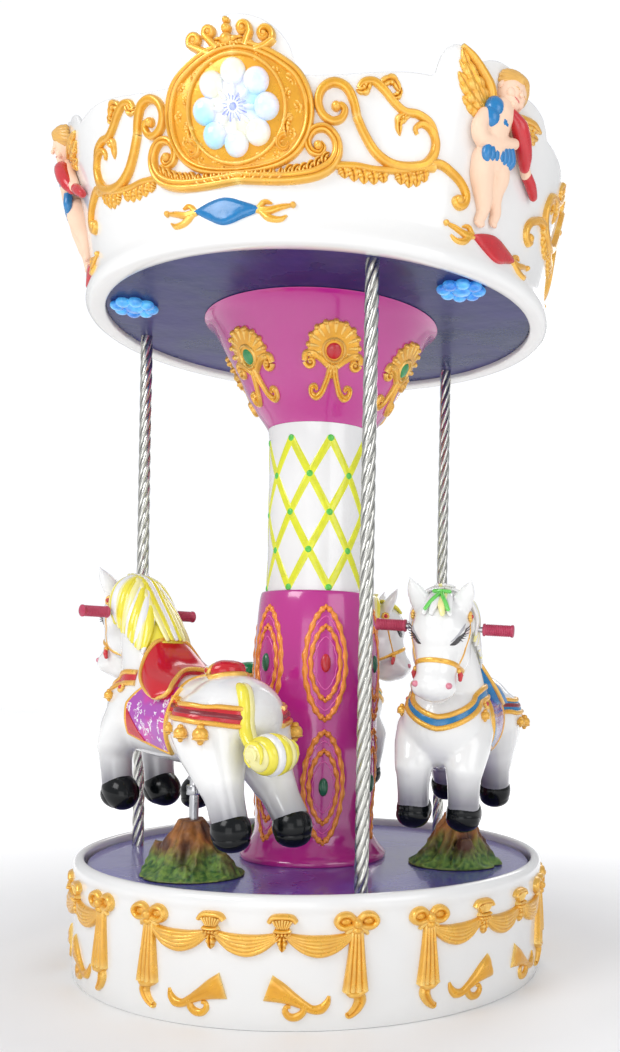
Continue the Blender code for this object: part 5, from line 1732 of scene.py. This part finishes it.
def tail(clay, slots):
    """The tail falls in one thick lock and rolls up in a ball of striped curls."""
    # The lock is two strands; the one in slot 1, paler on most horses, is a painted highlight down its side.
    for shift, slot in ((-0.0055, 1), (0.0055, 0)):
        points = ((-0.205, 0.022 + shift, 0.772), (-0.240, 0.034 + shift, 0.764), (-0.256, 0.040 + shift, 0.728),
                  (-0.260, 0.042 + shift, 0.684), (-0.276, 0.044 + shift, 0.650), (-0.300, 0.046 + shift, 0.628))
        path = smooth_path(points, 5)
        rod(clay, path, [0.0135 + 0.0035 * math.sin(math.pi * j / (len(path) - 1)) for j in range(len(path))],
            slots[slot], 16)
    centre = Vector((-0.322, 0.014, 0.615))
    bands = 6
    for k in range(bands):
        rings = []
        for j in range(9):
            x = -1.0 + 2.0 * (k + j / 8) / bands
            reach = math.sqrt(max(0.02, 1.0 - (0.975 * x) ** 2)) * (1.0 - 0.09 * (2 * j / 8 - 1) ** 4)
            rings.append([centre + Vector((0.053 * reach * math.cos(a), 0.064 * x + 0.007 * math.sin(a + 0.5),
                                           0.052 * reach * math.sin(a) - 0.004 * x))
                          for a in (2 * math.pi * i / 32 for i in range(32))])
        clay.tube(rings, slots[k % len(slots)])
    for turn in (-1, 1):
        for k in range(2):
            reach = 0.030 - 0.014 * k
            path = hug_ball(centre, [(reach * math.cos(a), reach * math.sin(a)) for a in
                                     (math.radians(-60 + 34 * j) for j in range(9))], turn)
            rod(clay, path, [0.003 + 0.004 * math.sin(math.pi * j / 8) for j in range(9)], slots[k % 2], 10)


def blanket_material(name, ground, second):
    """Painted saddle cloth: curly white flowers over two colours."""
    material, make, shader = base_material(name, **{"Coat Weight": 0.6, "Coat Roughness": 0.06})
    if make is not None:
        where = make.add("ShaderNodeTexCoord")
        bend = make.add("ShaderNodeTexNoise", {"Vector": (where, "Object"), "Scale": 60.0, "Detail": 2.0})
        push = make.mix(0.020, (where, "Object"), (bend, "Color"), "LINEAR_LIGHT")
        cells = make.add("ShaderNodeTexVoronoi", {"Vector": push, "Scale": 46.0})
        off = make.add("ShaderNodeMath", {0: (cells, "Distance"), 1: 0.34}, operation="SUBTRACT")
        gap = make.add("ShaderNodeMath", {0: (off, 0)}, operation="ABSOLUTE")
        patch = make.add("ShaderNodeTexNoise", {"Vector": (where, "Object"), "Scale": 17.0})
        petals = make.remap((gap, 0), 0.05, 0.09, 1.0, 0.0)
        hearts = make.remap((cells, "Distance"), 0.10, 0.15, 1.0, 0.0)
        drawn = make.add("ShaderNodeMath", {0: petals, 1: hearts}, operation="MAXIMUM")
        fade = make.remap((patch, "Fac"), 0.40, 0.46, 0.0, 1.0)
        flower = make.add("ShaderNodeMath", {0: (drawn, 0), 1: fade}, operation="MULTIPLY")
        broad = make.add("ShaderNodeTexNoise", {"Vector": (where, "Object"), "Scale": 11.0})
        cloth = make.mix(make.remap((broad, "Fac"), 0.44, 0.54, 0.0, 1.0), (*ground, 1.0), (*second, 1.0))
        flowered = make.mix((flower, 0), cloth, (0.84, 0.80, 0.86, 1.0))
        make.tree.links.new(flowered[0].outputs[flowered[1]], shader.inputs["Base Color"])
        rough = make.remap((broad, "Fac"), 0.3, 0.7, 0.14, 0.26)
        make.tree.links.new(rough[0].outputs[rough[1]], shader.inputs["Roughness"])
        bump = make.add("ShaderNodeBump", {"Strength": 0.25, "Distance": 0.0015, "Height": (flower, 0)})
        make.tree.links.new(bump.outputs[0], shader.inputs["Normal"])
    return material


def over_barrel(hide, s, angle, lift):
    """A point on the body: s runs forward, angle in degrees from the top of the back."""
    out = Vector((0.0, math.sin(math.radians(angle)), math.cos(math.radians(angle))))
    spot, _ = hide.cast(Vector((s, 0.0, 0.690)) + out * 0.30, -out)
    return spot + out * lift


def cloth_place(a, b):
    """A place on the blanket's side: a from its front edge to its rear, b from the saddle down to its hem."""
    hem = 112.0 + 22.0 * a
    angle = 48.0 + (hem - 48.0) * b
    front = 0.134 - 0.045 * max(0.0, (74.0 - angle) / 26.0)
    rear = -0.030 - 0.030 * (1.0 - b)
    return front + (rear - front) * a, angle


def blanket(clay, hide, slot, gold_slot, corner_slot):
    """A stiff painted cloth on both sides under the saddle, with a gold border and a plain front corner."""
    rows, columns = 24, 20
    for side in (-1, 1):
        grids = []
        for lift in (0.0068, -0.004):
            grids.append([[over_barrel(hide, s, side * angle, lift)
                           for s, angle in (cloth_place(i / rows, j / columns) for j in range(columns + 1))]
                          for i in range(rows + 1)])
        clay.sheet(*grids, slot)
        top = grids[0]
        edge = [top[0][j] for j in range(columns)] + [top[i][columns] for i in range(rows)] \
            + [top[rows][j] for j in range(columns, -1, -1)]
        strap(clay, hide, edge, 0.0052, 0.0112, gold_slot)
        corner = []
        for lift in (0.0092, 0.0):
            corner.append([[over_barrel(hide, s, side * angle, lift) for s, angle in
                            (cloth_place(0.04 + 0.40 * a * max(b, 0.02), 0.50 + 0.47 * b) for b in
                             (j / 8 for j in range(9)))] for a in (i / 8 for i in range(9))])
        clay.sheet(*corner, corner_slot)


SADDLE_FRONT = ((0.110, 0.0, 0.889), (0.110, 0.026, 0.889), (0.111, 0.048, 0.882), (0.110, 0.072, 0.857),
                (0.101, 0.094, 0.824), (0.079, 0.113, 0.789), (0.038, 0.123, 0.756), (0.004, 0.124, 0.741))
SADDLE_REAR = ((0.012, 0.0, 0.814), (0.006, 0.030, 0.811), (-0.010, 0.058, 0.801), (-0.026, 0.082, 0.787),
               (-0.038, 0.100, 0.774), (-0.044, 0.112, 0.760), (-0.036, 0.120, 0.748), (-0.014, 0.124, 0.741))


def saddle(clay, hide, slot, gold_slot):
    """A scooped shell with a high arch in front and round flaps, edged with a gold roll."""
    def whole(half):
        other = [(s, -lat, z) for s, lat, z in half[:0:-1]]
        return smooth_path([*other, *half], 4)
    front, rear = whole(SADDLE_FRONT), whole(SADDLE_REAR)
    count = len(front)
    top, under = [], []
    foot = [hide.near(p + Vector((0.018, 0, -0.9 * (p.z - 0.80)) if p.z > 0.80 else (0, 0, 0)))[0] for p in front]
    steps = 16
    for share in (0.0, 0.5, 0.85):
        top.append([low.lerp(high, share) + Vector((0.006 * math.sin(math.pi * share), 0, 0))
                    for low, high in zip(foot, front)])
    for i in range(steps + 1):
        a = i / steps
        line = []
        for j in range(count):
            b = abs(2.0 * j / (count - 1) - 1.0)
            point = front[j].lerp(rear[j], a)
            bow = math.sin(math.pi * a)
            scoop = max(0.0, 1.0 - (b / 0.62) ** 2)
            side = 1.0 if point.y > 0 else -1.0
            line.append(point + Vector((0, side * 0.012 * bow * (1 - scoop) * min(1.0, b * 1.6), -0.016 * bow * scoop)))
        top.append(line)
    top.append([hide.near(p)[0] for p in rear])
    for line in top:
        under.append([spot - up * 0.005 for spot, up in
                      (hide.near(Vector((p.x, p.y * 0.80, min(p.z, 0.82)))) for p in line)])
    clay.sheet(top, under, slot)
    loop = front + rear[::-1]
    rings = []
    for i, point in enumerate(loop):
        along = (loop[(i + 1) % len(loop)] - loop[i - 1]).normalized()
        out = (point - Vector((point.x, 0.0, 0.70))).normalized()
        across = along.cross(out).normalized()
        out = across.cross(along)
        rings.append([point + across * 0.0052 * math.cos(t) + out * 0.0062 * math.sin(t)
                      for t in (2 * math.pi * k / 10 for k in range(10))])
    clay.tube(rings, gold_slot, closed=True)


def rump_pad(clay, hide, slot, gold_slot, white_slot):
    """The padded cap on the rump in its gold ring, a rosette in front of it and straps to the saddle."""
    centre = Vector((-0.136, 0.0, 0.86))
    half, wide = 0.037, 0.037

    def ring(share, rise):
        return [hide.near(centre + Vector((half * share * math.cos(a), wide * share * math.sin(a), -0.9 * wide * share ** 2
                                           * math.sin(a) ** 2 - 0.06)))[0] + Vector((0, 0.3 * rise * math.sin(a), rise))
                for a in (2 * math.pi * k / 36 for k in range(36))]
    clay.tube([ring(share, rise) for share, rise in ((1.0, -0.006), (0.99, 0.010), (0.95, 0.018), (0.86, 0.026),
                                                     (0.68, 0.031), (0.40, 0.034), (0.05, 0.035))], slot)
    strap(clay, hide, ring(1.06, 0.0), 0.0062, 0.012, gold_slot, closed=True)
    hoop = [centre + Vector((half + 0.002, 0.031 * math.cos(a), -0.062 + 0.028 * math.sin(a))) for a in np.linspace(0, math.pi, 15)]
    rod(clay, hoop, 0.0085, gold_slot, 12)
    front = hide.near((-0.080, 0.0, 0.83))[0]
    lump(clay, front + Vector((0, 0, 0.006)), (0.024, 0.026, 0.020), gold_slot, sides=24)
    for side in (-1, 1):
        knob = front + Vector((0.004, side * 0.022, 0.010))
        for radius, out, finish in ((0.0125, 0.000, white_slot), (0.0085, 0.0045, gold_slot), (0.0060, 0.0070, slot)):
            lump(clay, knob + Vector((-0.4 * out, side * out, 0)), (radius, radius * 0.6, radius), finish, sides=18)
        path = hug(hide, ((-0.070, side * 0.024, 0.81), (-0.048, side * 0.052, 0.80), (-0.046, side * 0.082, 0.782),
                          (-0.058, side * 0.110, 0.755), (-0.074, side * 0.124, 0.735)))
        strap(clay, hide, smooth_path(path, 5), 0.0054, 0.0062, gold_slot)


def rosette(clay, hide, guess, size, gold_slot, heart_slot):
    """A ring of gold beads round a red heart."""
    spot, up = hide.near(guess)
    side = up.cross(Vector((0, 0, 1))).normalized()
    other = side.cross(up)
    for k in range(8):
        turn = 2 * math.pi * k / 8
        place = spot + up * 0.004 + (side * math.cos(turn) + other * math.sin(turn)) * size * 0.72
        lump(clay, place, (size * 0.42, size * 0.42, size * 0.42), gold_slot, sides=12, rows=8)
    lump(clay, spot + up * 0.006, (size * 0.55, size * 0.50, size * 0.55), heart_slot, sides=16, rows=10)


def tack(clay, hide):
    """Chest band, breeching, bridle and bells. Slots: colour 0, gold 1, dark stripe 2, red 3."""
    def round_body(middle, reach, degrees, height):
        heart = Vector((middle, 0.0, height))
        guess = heart + Vector((reach * math.cos(math.radians(degrees)), reach * math.sin(math.radians(degrees)), 0.0))
        return hide.cast(guess, heart - guess)[0]
    chest = [round_body(0.170, 0.25, 114.0 * b, 0.727 + 0.062 * math.sin(math.pi / 2 * min(1.0, 1.25 * abs(b))) ** 1.5)
             for b in np.linspace(-1, 1, 37)]
    edged_strap(clay, hide, chest, 0.0150, 0.0058, 0, 1, edge=0.48)
    for side in (-1, 1):
        sweep = 113.0 if side > 0 else 97.0
        rear = [round_body(-0.145, 0.25, side * (48.0 + sweep * t), 0.725 - 0.026 * t) for t in np.linspace(0, 1, 21)]
        edged_strap(clay, hide, rear, 0.0215, 0.0062, 0, 1, stripe=2)
        for turn, size in ((82.0, 0.0125), (98.0, 0.0175), (117.0, 0.0205)):
            bell(clay, hide, rear[round((turn - 48.0) / sweep * 20)] + Vector((0, 0, -0.044)), size, 1)
        place = chest[9 if side < 0 else 27]
        bell(clay, hide, place + Vector((0, 0, -0.038)), 0.0135, 1)
        rosette(clay, hide, chest[5 if side < 0 else 31] + Vector((0, 0, -0.030)), 0.0125, 1, 3)
        cheek = smooth_path([(0.300, side * 0.075, 0.990), (0.312, side * 0.075, 0.950), (0.324, side * 0.066, 0.912),
                             (0.338, side * 0.055, 0.874)], 6)
        strap(clay, hide, cheek, 0.0028, 0.0040, 1)
        rosette(clay, hide, (0.302, side * 0.073, 0.996), 0.0125, 1, 3)
        knot, up = hide.near((0.338, side * 0.056, 0.864))
        lump(clay, knot + up * 0.004, (0.0070, 0.0060, 0.0070), 1, sides=14, rows=10)
        rod(clay, [knot + up * 0.005, knot + up * 0.008 + Vector((-0.003, 0, -0.010)),
                   knot + up * 0.007 + Vector((-0.005, 0, -0.022))], (0.004, 0.0070, 0.0050), 3, 12)
    nose = []
    for k in range(40):
        turn = 2 * math.pi * k / 40
        heart = Vector((0.340, 0, 0.874))
        way = Vector((math.cos(turn), math.sin(turn), 0.40 * math.cos(turn)))
        nose.append(hide.cast(heart + way * 0.12, -way)[0])
    strap(clay, hide, nose, 0.0066, 0.0052, 1, closed=True)


class CAROUSEL_OT_horses(Operator):
    """Make the three horses with their hooves, manes, tails, saddles and tack"""
    bl_idname = "carousel.horses"
    bl_label = "Horses"

    def execute(self, context):
        coat = horse_coat()
        gold = gold_paint()
        hoof = gel_material("black hoof", (0.003, 0.004, 0.005), 0.14, 0.2, 0.02, 0.12, 0.22)
        pink = gel_material("pink skin", (0.72, 0.22, 0.30), 0.2, 0.3, 0.03)
        dark = gel_material("eye line", (0.025, 0.022, 0.025), 0.15, 0.2, 0.0)
        shade = gel_material("eyelid shade", (0.42, 0.42, 0.45), 0.2, 0.2, 0.0)
        white = gel_material("white hair", colours().white, 0.16, 0.2, 0.05)
        yellow = gel_material("yellow hair", colours().mane, 0.16, 0.3, 0.05)
        cream = gel_material("cream hair", (0.88, 0.82, 0.36), 0.16, 0.2, 0.05)
        green = gel_material("green ribbon", (0.14, 0.62, 0.10), 0.16, 0.2, 0.05)
        wine = paint("dark red stripe", (0.22, 0.008, 0.02))
        red = paint("red paint", colours().red)
        blue = paint("blue paint", (0.01, 0.19, 0.44))
        saddles = (gel_material("red saddle", colours().red, 0.12, 0.4, 0.05, 0.35, 0.4),
                   gel_material("blue saddle", colours().blue, 0.12, 0.4, 0.05, 0.35, 0.4),
                   gel_material("green saddle", (0.01, 0.24, 0.08), 0.12, 0.4, 0.05, 0.35, 0.4))
        bands = (red, blue, paint("green paint", (0.01, 0.26, 0.08)))
        cloths = (blanket_material("magenta blanket", (0.58, 0.03, 0.36), (0.40, 0.06, 0.42)),
                  blanket_material("violet blanket", (0.34, 0.11, 0.42), (0.16, 0.10, 0.44)),
                  blanket_material("orange blanket", (0.70, 0.16, 0.03), (0.56, 0.05, 0.05)))
        # The white and cream locks among the first horse's yellow hair are painted streaks and also stand in for glossy
        # painted highlights.
        hair = ((yellow, cream, yellow, white), (white, white, cream, white), (yellow, cream, white, yellow))
        slots = ("saddle_red", "saddle_blue", "saddle_green")
        body = fused(horse_figure(), "horse_coat", sizes().coat_cell, 9, [coat])
        hide = Hide(body)
        for number, azimuth in enumerate(HORSES, 1):
            stand = horse_stand(number)
            rider = "horse_%d" % number
            pieces = []
            skin = body if number == 1 else body.copy()
            if number > 1:
                skin.data = body.data.copy()
                context.scene.collection.objects.link(skin)
            skin.name = "horse_figure_%d" % number
            pieces.append((skin, "gloss_white", rider + "_body"))
            clay = Clay()
            toe = Matrix.Rotation(math.radians(-25.0), 3, "Y")
            for side in (-1, 1):
                lump(clay, (0.237, side * 0.066, 0.484), (0.060, 0.0460, 0.0480), 0, toe, 32, 20)
                lump(clay, (0.253, side * 0.066, 0.472), (0.045, 0.0440, 0.0345), 0, toe, 28, 16)
                back = -0.254 if side > 0 else -0.294
                lump(clay, (back, side * 0.078, 0.434), (0.0510, 0.0485, 0.0520), 0, None, 32, 20)
                lump(clay, (back - 0.003, side * 0.078, 0.413), (0.0460, 0.0450, 0.0310), 0, None, 28, 16)
                ear = hug(hide, ((0.334, side * 0.048, 1.020), (0.342, side * 0.058, 1.040), (0.348, side * 0.067, 1.058),
                                 (0.350, side * 0.074, 1.074)))
                strap(clay, hide, smooth_path(ear, 4), (0.009, 0.0125, 0.008, 0.002), 0.0012, 1)
                nostril = hide.near((0.412, side * 0.053, 0.838))[0]
                lump(clay, nostril, (0.0072, 0.0088, 0.0080), 1, sides=16, rows=10)
                eye(clay, hide, side)
            pieces.append((clay.make("hooves_and_face_%d" % number, [hoof, pink, dark, shade]), "gloss_white", None))
            clay = Clay()
            mane(clay, hide, (0, 1, 2, 3), 0.030 if number == 2 else 0.018)
            tail(clay, (0, 1, 2, 3))
            if number == 2:
                for side in (-1, 1):
                    ribbon = hug(hide, ((0.326, side * 0.002, 1.050), (0.342, side * 0.008, 1.036),
                                        (0.354, side * 0.015, 1.022), (0.364, side * 0.022, 1.006)), 0.014)
                    rod(clay, smooth_path(ribbon, 5), 0.0052, 4, 10, 0.7, up=(1, 0, 0.6))
                bar = hug(hide, ((0.312, -0.020, 1.05), (0.322, 0.0, 1.055), (0.312, 0.020, 1.05)), 0.016)
                rod(clay, smooth_path(bar, 5), 0.0052, 4, 10)
            pieces.append((clay.make("mane_and_tail_%d" % number, [*hair[number - 1], green]), "gilt", None))
            clay = Clay()
            blanket(clay, hide, 0, 1, 2)
            pieces.append((clay.make("blanket_%d" % number, [cloths[number - 1], gold, bands[number - 1]], 60.0),
                           "magenta", None))
            clay = Clay()
            saddle(clay, hide, 0, 1)
            rump_pad(clay, hide, 0, 1, 2)
            pieces.append((clay.make("painted_saddle_%d" % number, [saddles[number - 1], gold, white], 60.0),
                           slots[number - 1], rider + "_saddle"))
            clay = Clay()
            tack(clay, hide)
            pieces.append((clay.make("tack_%d" % number, [bands[number - 1], gold, wine, red], 60.0), "gilt", None))
            for thing, slot, node in pieces:
                thing.matrix_world = stand
                settle(thing, rider, slot, *([node] if node else []))
        return {"FINISHED"}


def grip_material():
    material, make, shader = base_material("grip plastic", **{"Specular IOR Level": 0.4})
    if make is not None:
        where = make.add("ShaderNodeTexCoord")
        cloud = make.add("ShaderNodeTexNoise", {"Vector": (where, "Object"), "Scale": 40.0, "Detail": 4.0})
        shade = make.mix(make.remap((cloud, "Fac"), 0.35, 0.7, 0.0, 1.0), (0.42, 0.035, 0.085, 1.0), (0.52, 0.075, 0.14, 1.0))
        make.tree.links.new(shade[0].outputs[shade[1]], shader.inputs["Base Color"])
        rough = make.remap((cloud, "Fac"), 0.3, 0.7, 0.32, 0.5)
        make.tree.links.new(rough[0].outputs[rough[1]], shader.inputs["Roughness"])
        bump = make.add("ShaderNodeBump", {"Strength": 0.15, "Distance": 0.001, "Height": (cloud, "Fac")})
        make.tree.links.new(bump.outputs[0], shader.inputs["Normal"])
    return material


class CAROUSEL_OT_handles(Operator):
    """Make the handlebars with their ribbed grips, and the posts that carry the horses"""
    bl_idname = "carousel.handles"
    bl_label = "Handlebars and posts"

    def execute(self, context):
        steel, make, shader = base_material("plain steel", **{"Metallic": 1.0})
        if make is not None:
            where = make.add("ShaderNodeTexCoord")
            cloud = make.add("ShaderNodeTexNoise", {"Vector": (where, "Object"), "Scale": 18.0, "Detail": 5.0})
            shade = make.mix((cloud, "Fac"), (0.62, 0.62, 0.62, 1.0), (0.36, 0.37, 0.40, 1.0))
            make.tree.links.new(shade[0].outputs[shade[1]], shader.inputs["Base Color"])
            rough = make.remap((cloud, "Fac"), 0.3, 0.7, 0.18, 0.34)
            make.tree.links.new(rough[0].outputs[rough[1]], shader.inputs["Roughness"])
        grip = grip_material()
        for number, azimuth in enumerate(HORSES, 1):
            stand = horse_stand(number)
            rider = "horse_%d" % number
            clay = Clay()

            def barrel(outline, slot, steps=40):
                rings = [[Vector((BAR_FORWARD + radius * math.cos(a), along, BAR_HEIGHT + radius * math.sin(a)))
                          for a in (2 * math.pi * k / steps for k in range(steps))] for radius, along in outline]
                clay.tube(rings, slot)
            barrel(((0.0078, -BAR_HALF + 0.0005), (0.0078, BAR_HALF - 0.0005)), 0)
            for side in (-1, 1):
                outline = [(0.0090, side * GRIP_START), (0.0150, side * (GRIP_START + 0.0005)),
                           (0.0160, side * (GRIP_START + 0.002)), (0.0160, side * (GRIP_START + 0.0055)),
                           (0.0140, side * (GRIP_START + 0.007))]
                for k in range(13):
                    at = GRIP_START + 0.009 + 0.0045 * k
                    outline += [(0.0135, side * at), (0.0148, side * (at + 0.0012)), (0.0148, side * (at + 0.0032)),
                                (0.0135, side * (at + 0.0043))]
                outline += [(0.0150, side * (BAR_HALF - 0.0070)), (0.0160, side * (BAR_HALF - 0.0055)),
                            (0.0160, side * (BAR_HALF - 0.0020)), (0.0135, side * (BAR_HALF - 0.0002)),
                            (0.0020, side * BAR_HALF)]
                barrel(outline, 1)
            bar = clay.make("handlebar_%d" % number, [steel, grip], 40.0)
            bar.matrix_world = stand
            settle(bar, rider, "grip_red", rider + "_handlebar")
            clay = Clay()
            middle = polar(HORSE_CIRCLE, azimuth)

            def shaft(outline, sides=40, phase=0.0, centre=middle):
                rings = [[centre + Vector((radius * math.cos(a + phase), radius * math.sin(a + phase), height))
                          for a in (2 * math.pi * k / sides for k in range(sides))] for radius, height in outline]
                clay.tube(rings, 0)
            shaft(((0.0119, 0.331), (0.0119, 0.600)))
            shaft(((0.0150, 0.4905), (0.0190, 0.4910), (0.0198, 0.4925), (0.0198, 0.5135), (0.0190, 0.5150), (0.0150, 0.5155)))
            for side in (-1, 1):
                way = polar(1.0, azimuth + 90.0 * side)
                for height in (0.4975, 0.5085):
                    start = middle + way * 0.012 + Vector((0, 0, height))
                    rod(clay, [start, start + way * 0.0078], (0.0034, 0.0034), 0, 6, rounded=False)
            post = clay.make("post_%d" % number, [steel], 40.0)
            settle(post, rider, "steel", rider + "_post")
        return {"FINISHED"}


# Stage

class CAROUSEL_OT_stage(Operator):
    """Make the pale floor, the soft studio lights and the camera"""
    bl_idname = "carousel.stage"
    bl_label = "Stage"

    def execute(self, context):
        scene = context.scene
        material, make, shader = base_material("pale floor", **{"Roughness": 0.6})
        if make is not None:
            where = make.add("ShaderNodeTexCoord")
            cloud = make.add("ShaderNodeTexNoise", {"Vector": (where, "Object"), "Scale": 2.0})
            shade = make.mix((cloud, "Fac"), (0.86, 0.86, 0.86, 1.0), (0.90, 0.90, 0.90, 1.0))
            make.tree.links.new(shade[0].outputs[shade[1]], shader.inputs["Base Color"])
            # Painted light: the floor glows more the further it is from the middle, so that it fades into the white
            # backdrop.
            away = make.add("ShaderNodeVectorMath", {0: (where, "Object")}, operation="LENGTH")
            far_glow = make.remap((away, "Value"), 0.9, 3.2, 0.0, 0.55)
            far_glow_colour = make.add("ShaderNodeCombineColor", {"Red": far_glow, "Green": far_glow, "Blue": far_glow})
            make.tree.links.new(far_glow_colour.outputs[0], shader.inputs["Emission Color"])
            shader.inputs["Emission Strength"].default_value = 1.0
        clay = Clay()
        clay.sheet([[(-14, -14, -0.001), (14, -14, -0.001)], [(-14, 14, -0.001), (14, 14, -0.001)]],
                   [[(-14, -14, -0.02), (14, -14, -0.02)], [(-14, 14, -0.02), (14, 14, -0.02)]])
        floor = clay.make("floor", [material])
        world = bpy.data.worlds.new("studio")
        world.use_nodes = True
        make = Wiring(world.node_tree)
        background = world.node_tree.nodes["Background"]
        background.inputs["Color"].default_value = (0.96, 0.97, 1.0, 1.0)
        seen = make.add("ShaderNodeLightPath")
        strength = make.remap((seen, "Is Camera Ray"), 0.0, 1.0, 0.60, 1.06)
        make.tree.links.new(strength[0].outputs[strength[1]], background.inputs["Strength"])
        scene.world = world
        scene.view_settings.view_transform = "Standard"
        for name, place, aim, size, power in (
                ("key", (-2.6, -4.2, 4.2), (0, 0, 1.2), 2.6, 125.0),
                ("fill", (4.4, -3.0, 2.6), (0, 0, 1.2), 3.0, 50.0),
                ("back", (0.5, 4.6, 4.0), (0, 0, 1.4), 3.0, 70.0),
                ("low", (0.3, -4.0, 0.7), (0, 0, 1.4), 2.2, 22.0)):
            light = bpy.data.lights.new(name, "AREA")
            light.size = size
            light.energy = power
            thing = bpy.data.objects.new(name, light)
            thing.location = place
            thing.rotation_euler = (Vector(aim) - Vector(place)).to_track_quat("-Z", "Y").to_euler()
            scene.collection.objects.link(thing)
        camera = bpy.data.cameras.new("camera")
        camera.sensor_width = 36.0
        camera.sensor_fit = "AUTO"
        camera.lens = 35.87
        camera.shift_x = -0.1236
        camera.shift_y = 0.1365
        camera.clip_end = 60.0
        eye = bpy.data.objects.new("camera", camera)
        forward = Vector((-0.1908, 0.9816, 0.0)).normalized()
        level = forward.to_track_quat("-Z", "Y").to_matrix()
        eye.matrix_world = (Matrix.Translation((0.925, -2.893, 0.824))
                            @ (level @ Matrix.Rotation(0.018, 3, "Z")).to_4x4())
        scene.collection.objects.link(eye)
        scene.camera = eye
        return {"FINISHED"}


OPERATORS = (CAROUSEL_OT_stage, CAROUSEL_OT_drum, CAROUSEL_OT_deck, CAROUSEL_OT_column, CAROUSEL_OT_band,
             CAROUSEL_OT_flare, CAROUSEL_OT_ceiling, CAROUSEL_OT_crown, CAROUSEL_OT_flowers,
             CAROUSEL_OT_cherubs, CAROUSEL_OT_poles, CAROUSEL_OT_rocks,
             CAROUSEL_OT_horses, CAROUSEL_OT_handles)


class CAROUSEL_PT_panel(Panel):
    """Lists the carousel's pieces in the order in which they are made"""
    bl_idname = "CAROUSEL_PT_panel"
    bl_label = "Children's carousel"
    bl_space_type = "VIEW_3D"
    bl_region_type = "UI"
    bl_category = "Carousel"

    def draw(self, context):
        column = self.layout.column()
        for group in (context.scene.carousel_sizes, context.scene.carousel_colours):
            for name in group.bl_rna.properties.keys():
                if name not in ("rna_type", "name"):
                    column.prop(group, name)
        for operator in OPERATORS:
            column.operator(operator.bl_idname)


CLASSES = (CarouselSizes, CarouselColours, *OPERATORS, CAROUSEL_PT_panel)


def register():
    for cls in CLASSES:
        bpy.utils.register_class(cls)
    bpy.types.Scene.carousel_sizes = PointerProperty(type=CarouselSizes)
    bpy.types.Scene.carousel_colours = PointerProperty(type=CarouselColours)


def unregister():
    del bpy.types.Scene.carousel_colours
    del bpy.types.Scene.carousel_sizes
    for cls in reversed(CLASSES):
        bpy.utils.unregister_class(cls)


def main():
    register()
    for operator in OPERATORS:
        group, name = operator.bl_idname.split(".")
        getattr(getattr(bpy.ops, group), name)()


if __name__ == "__main__":
    main()
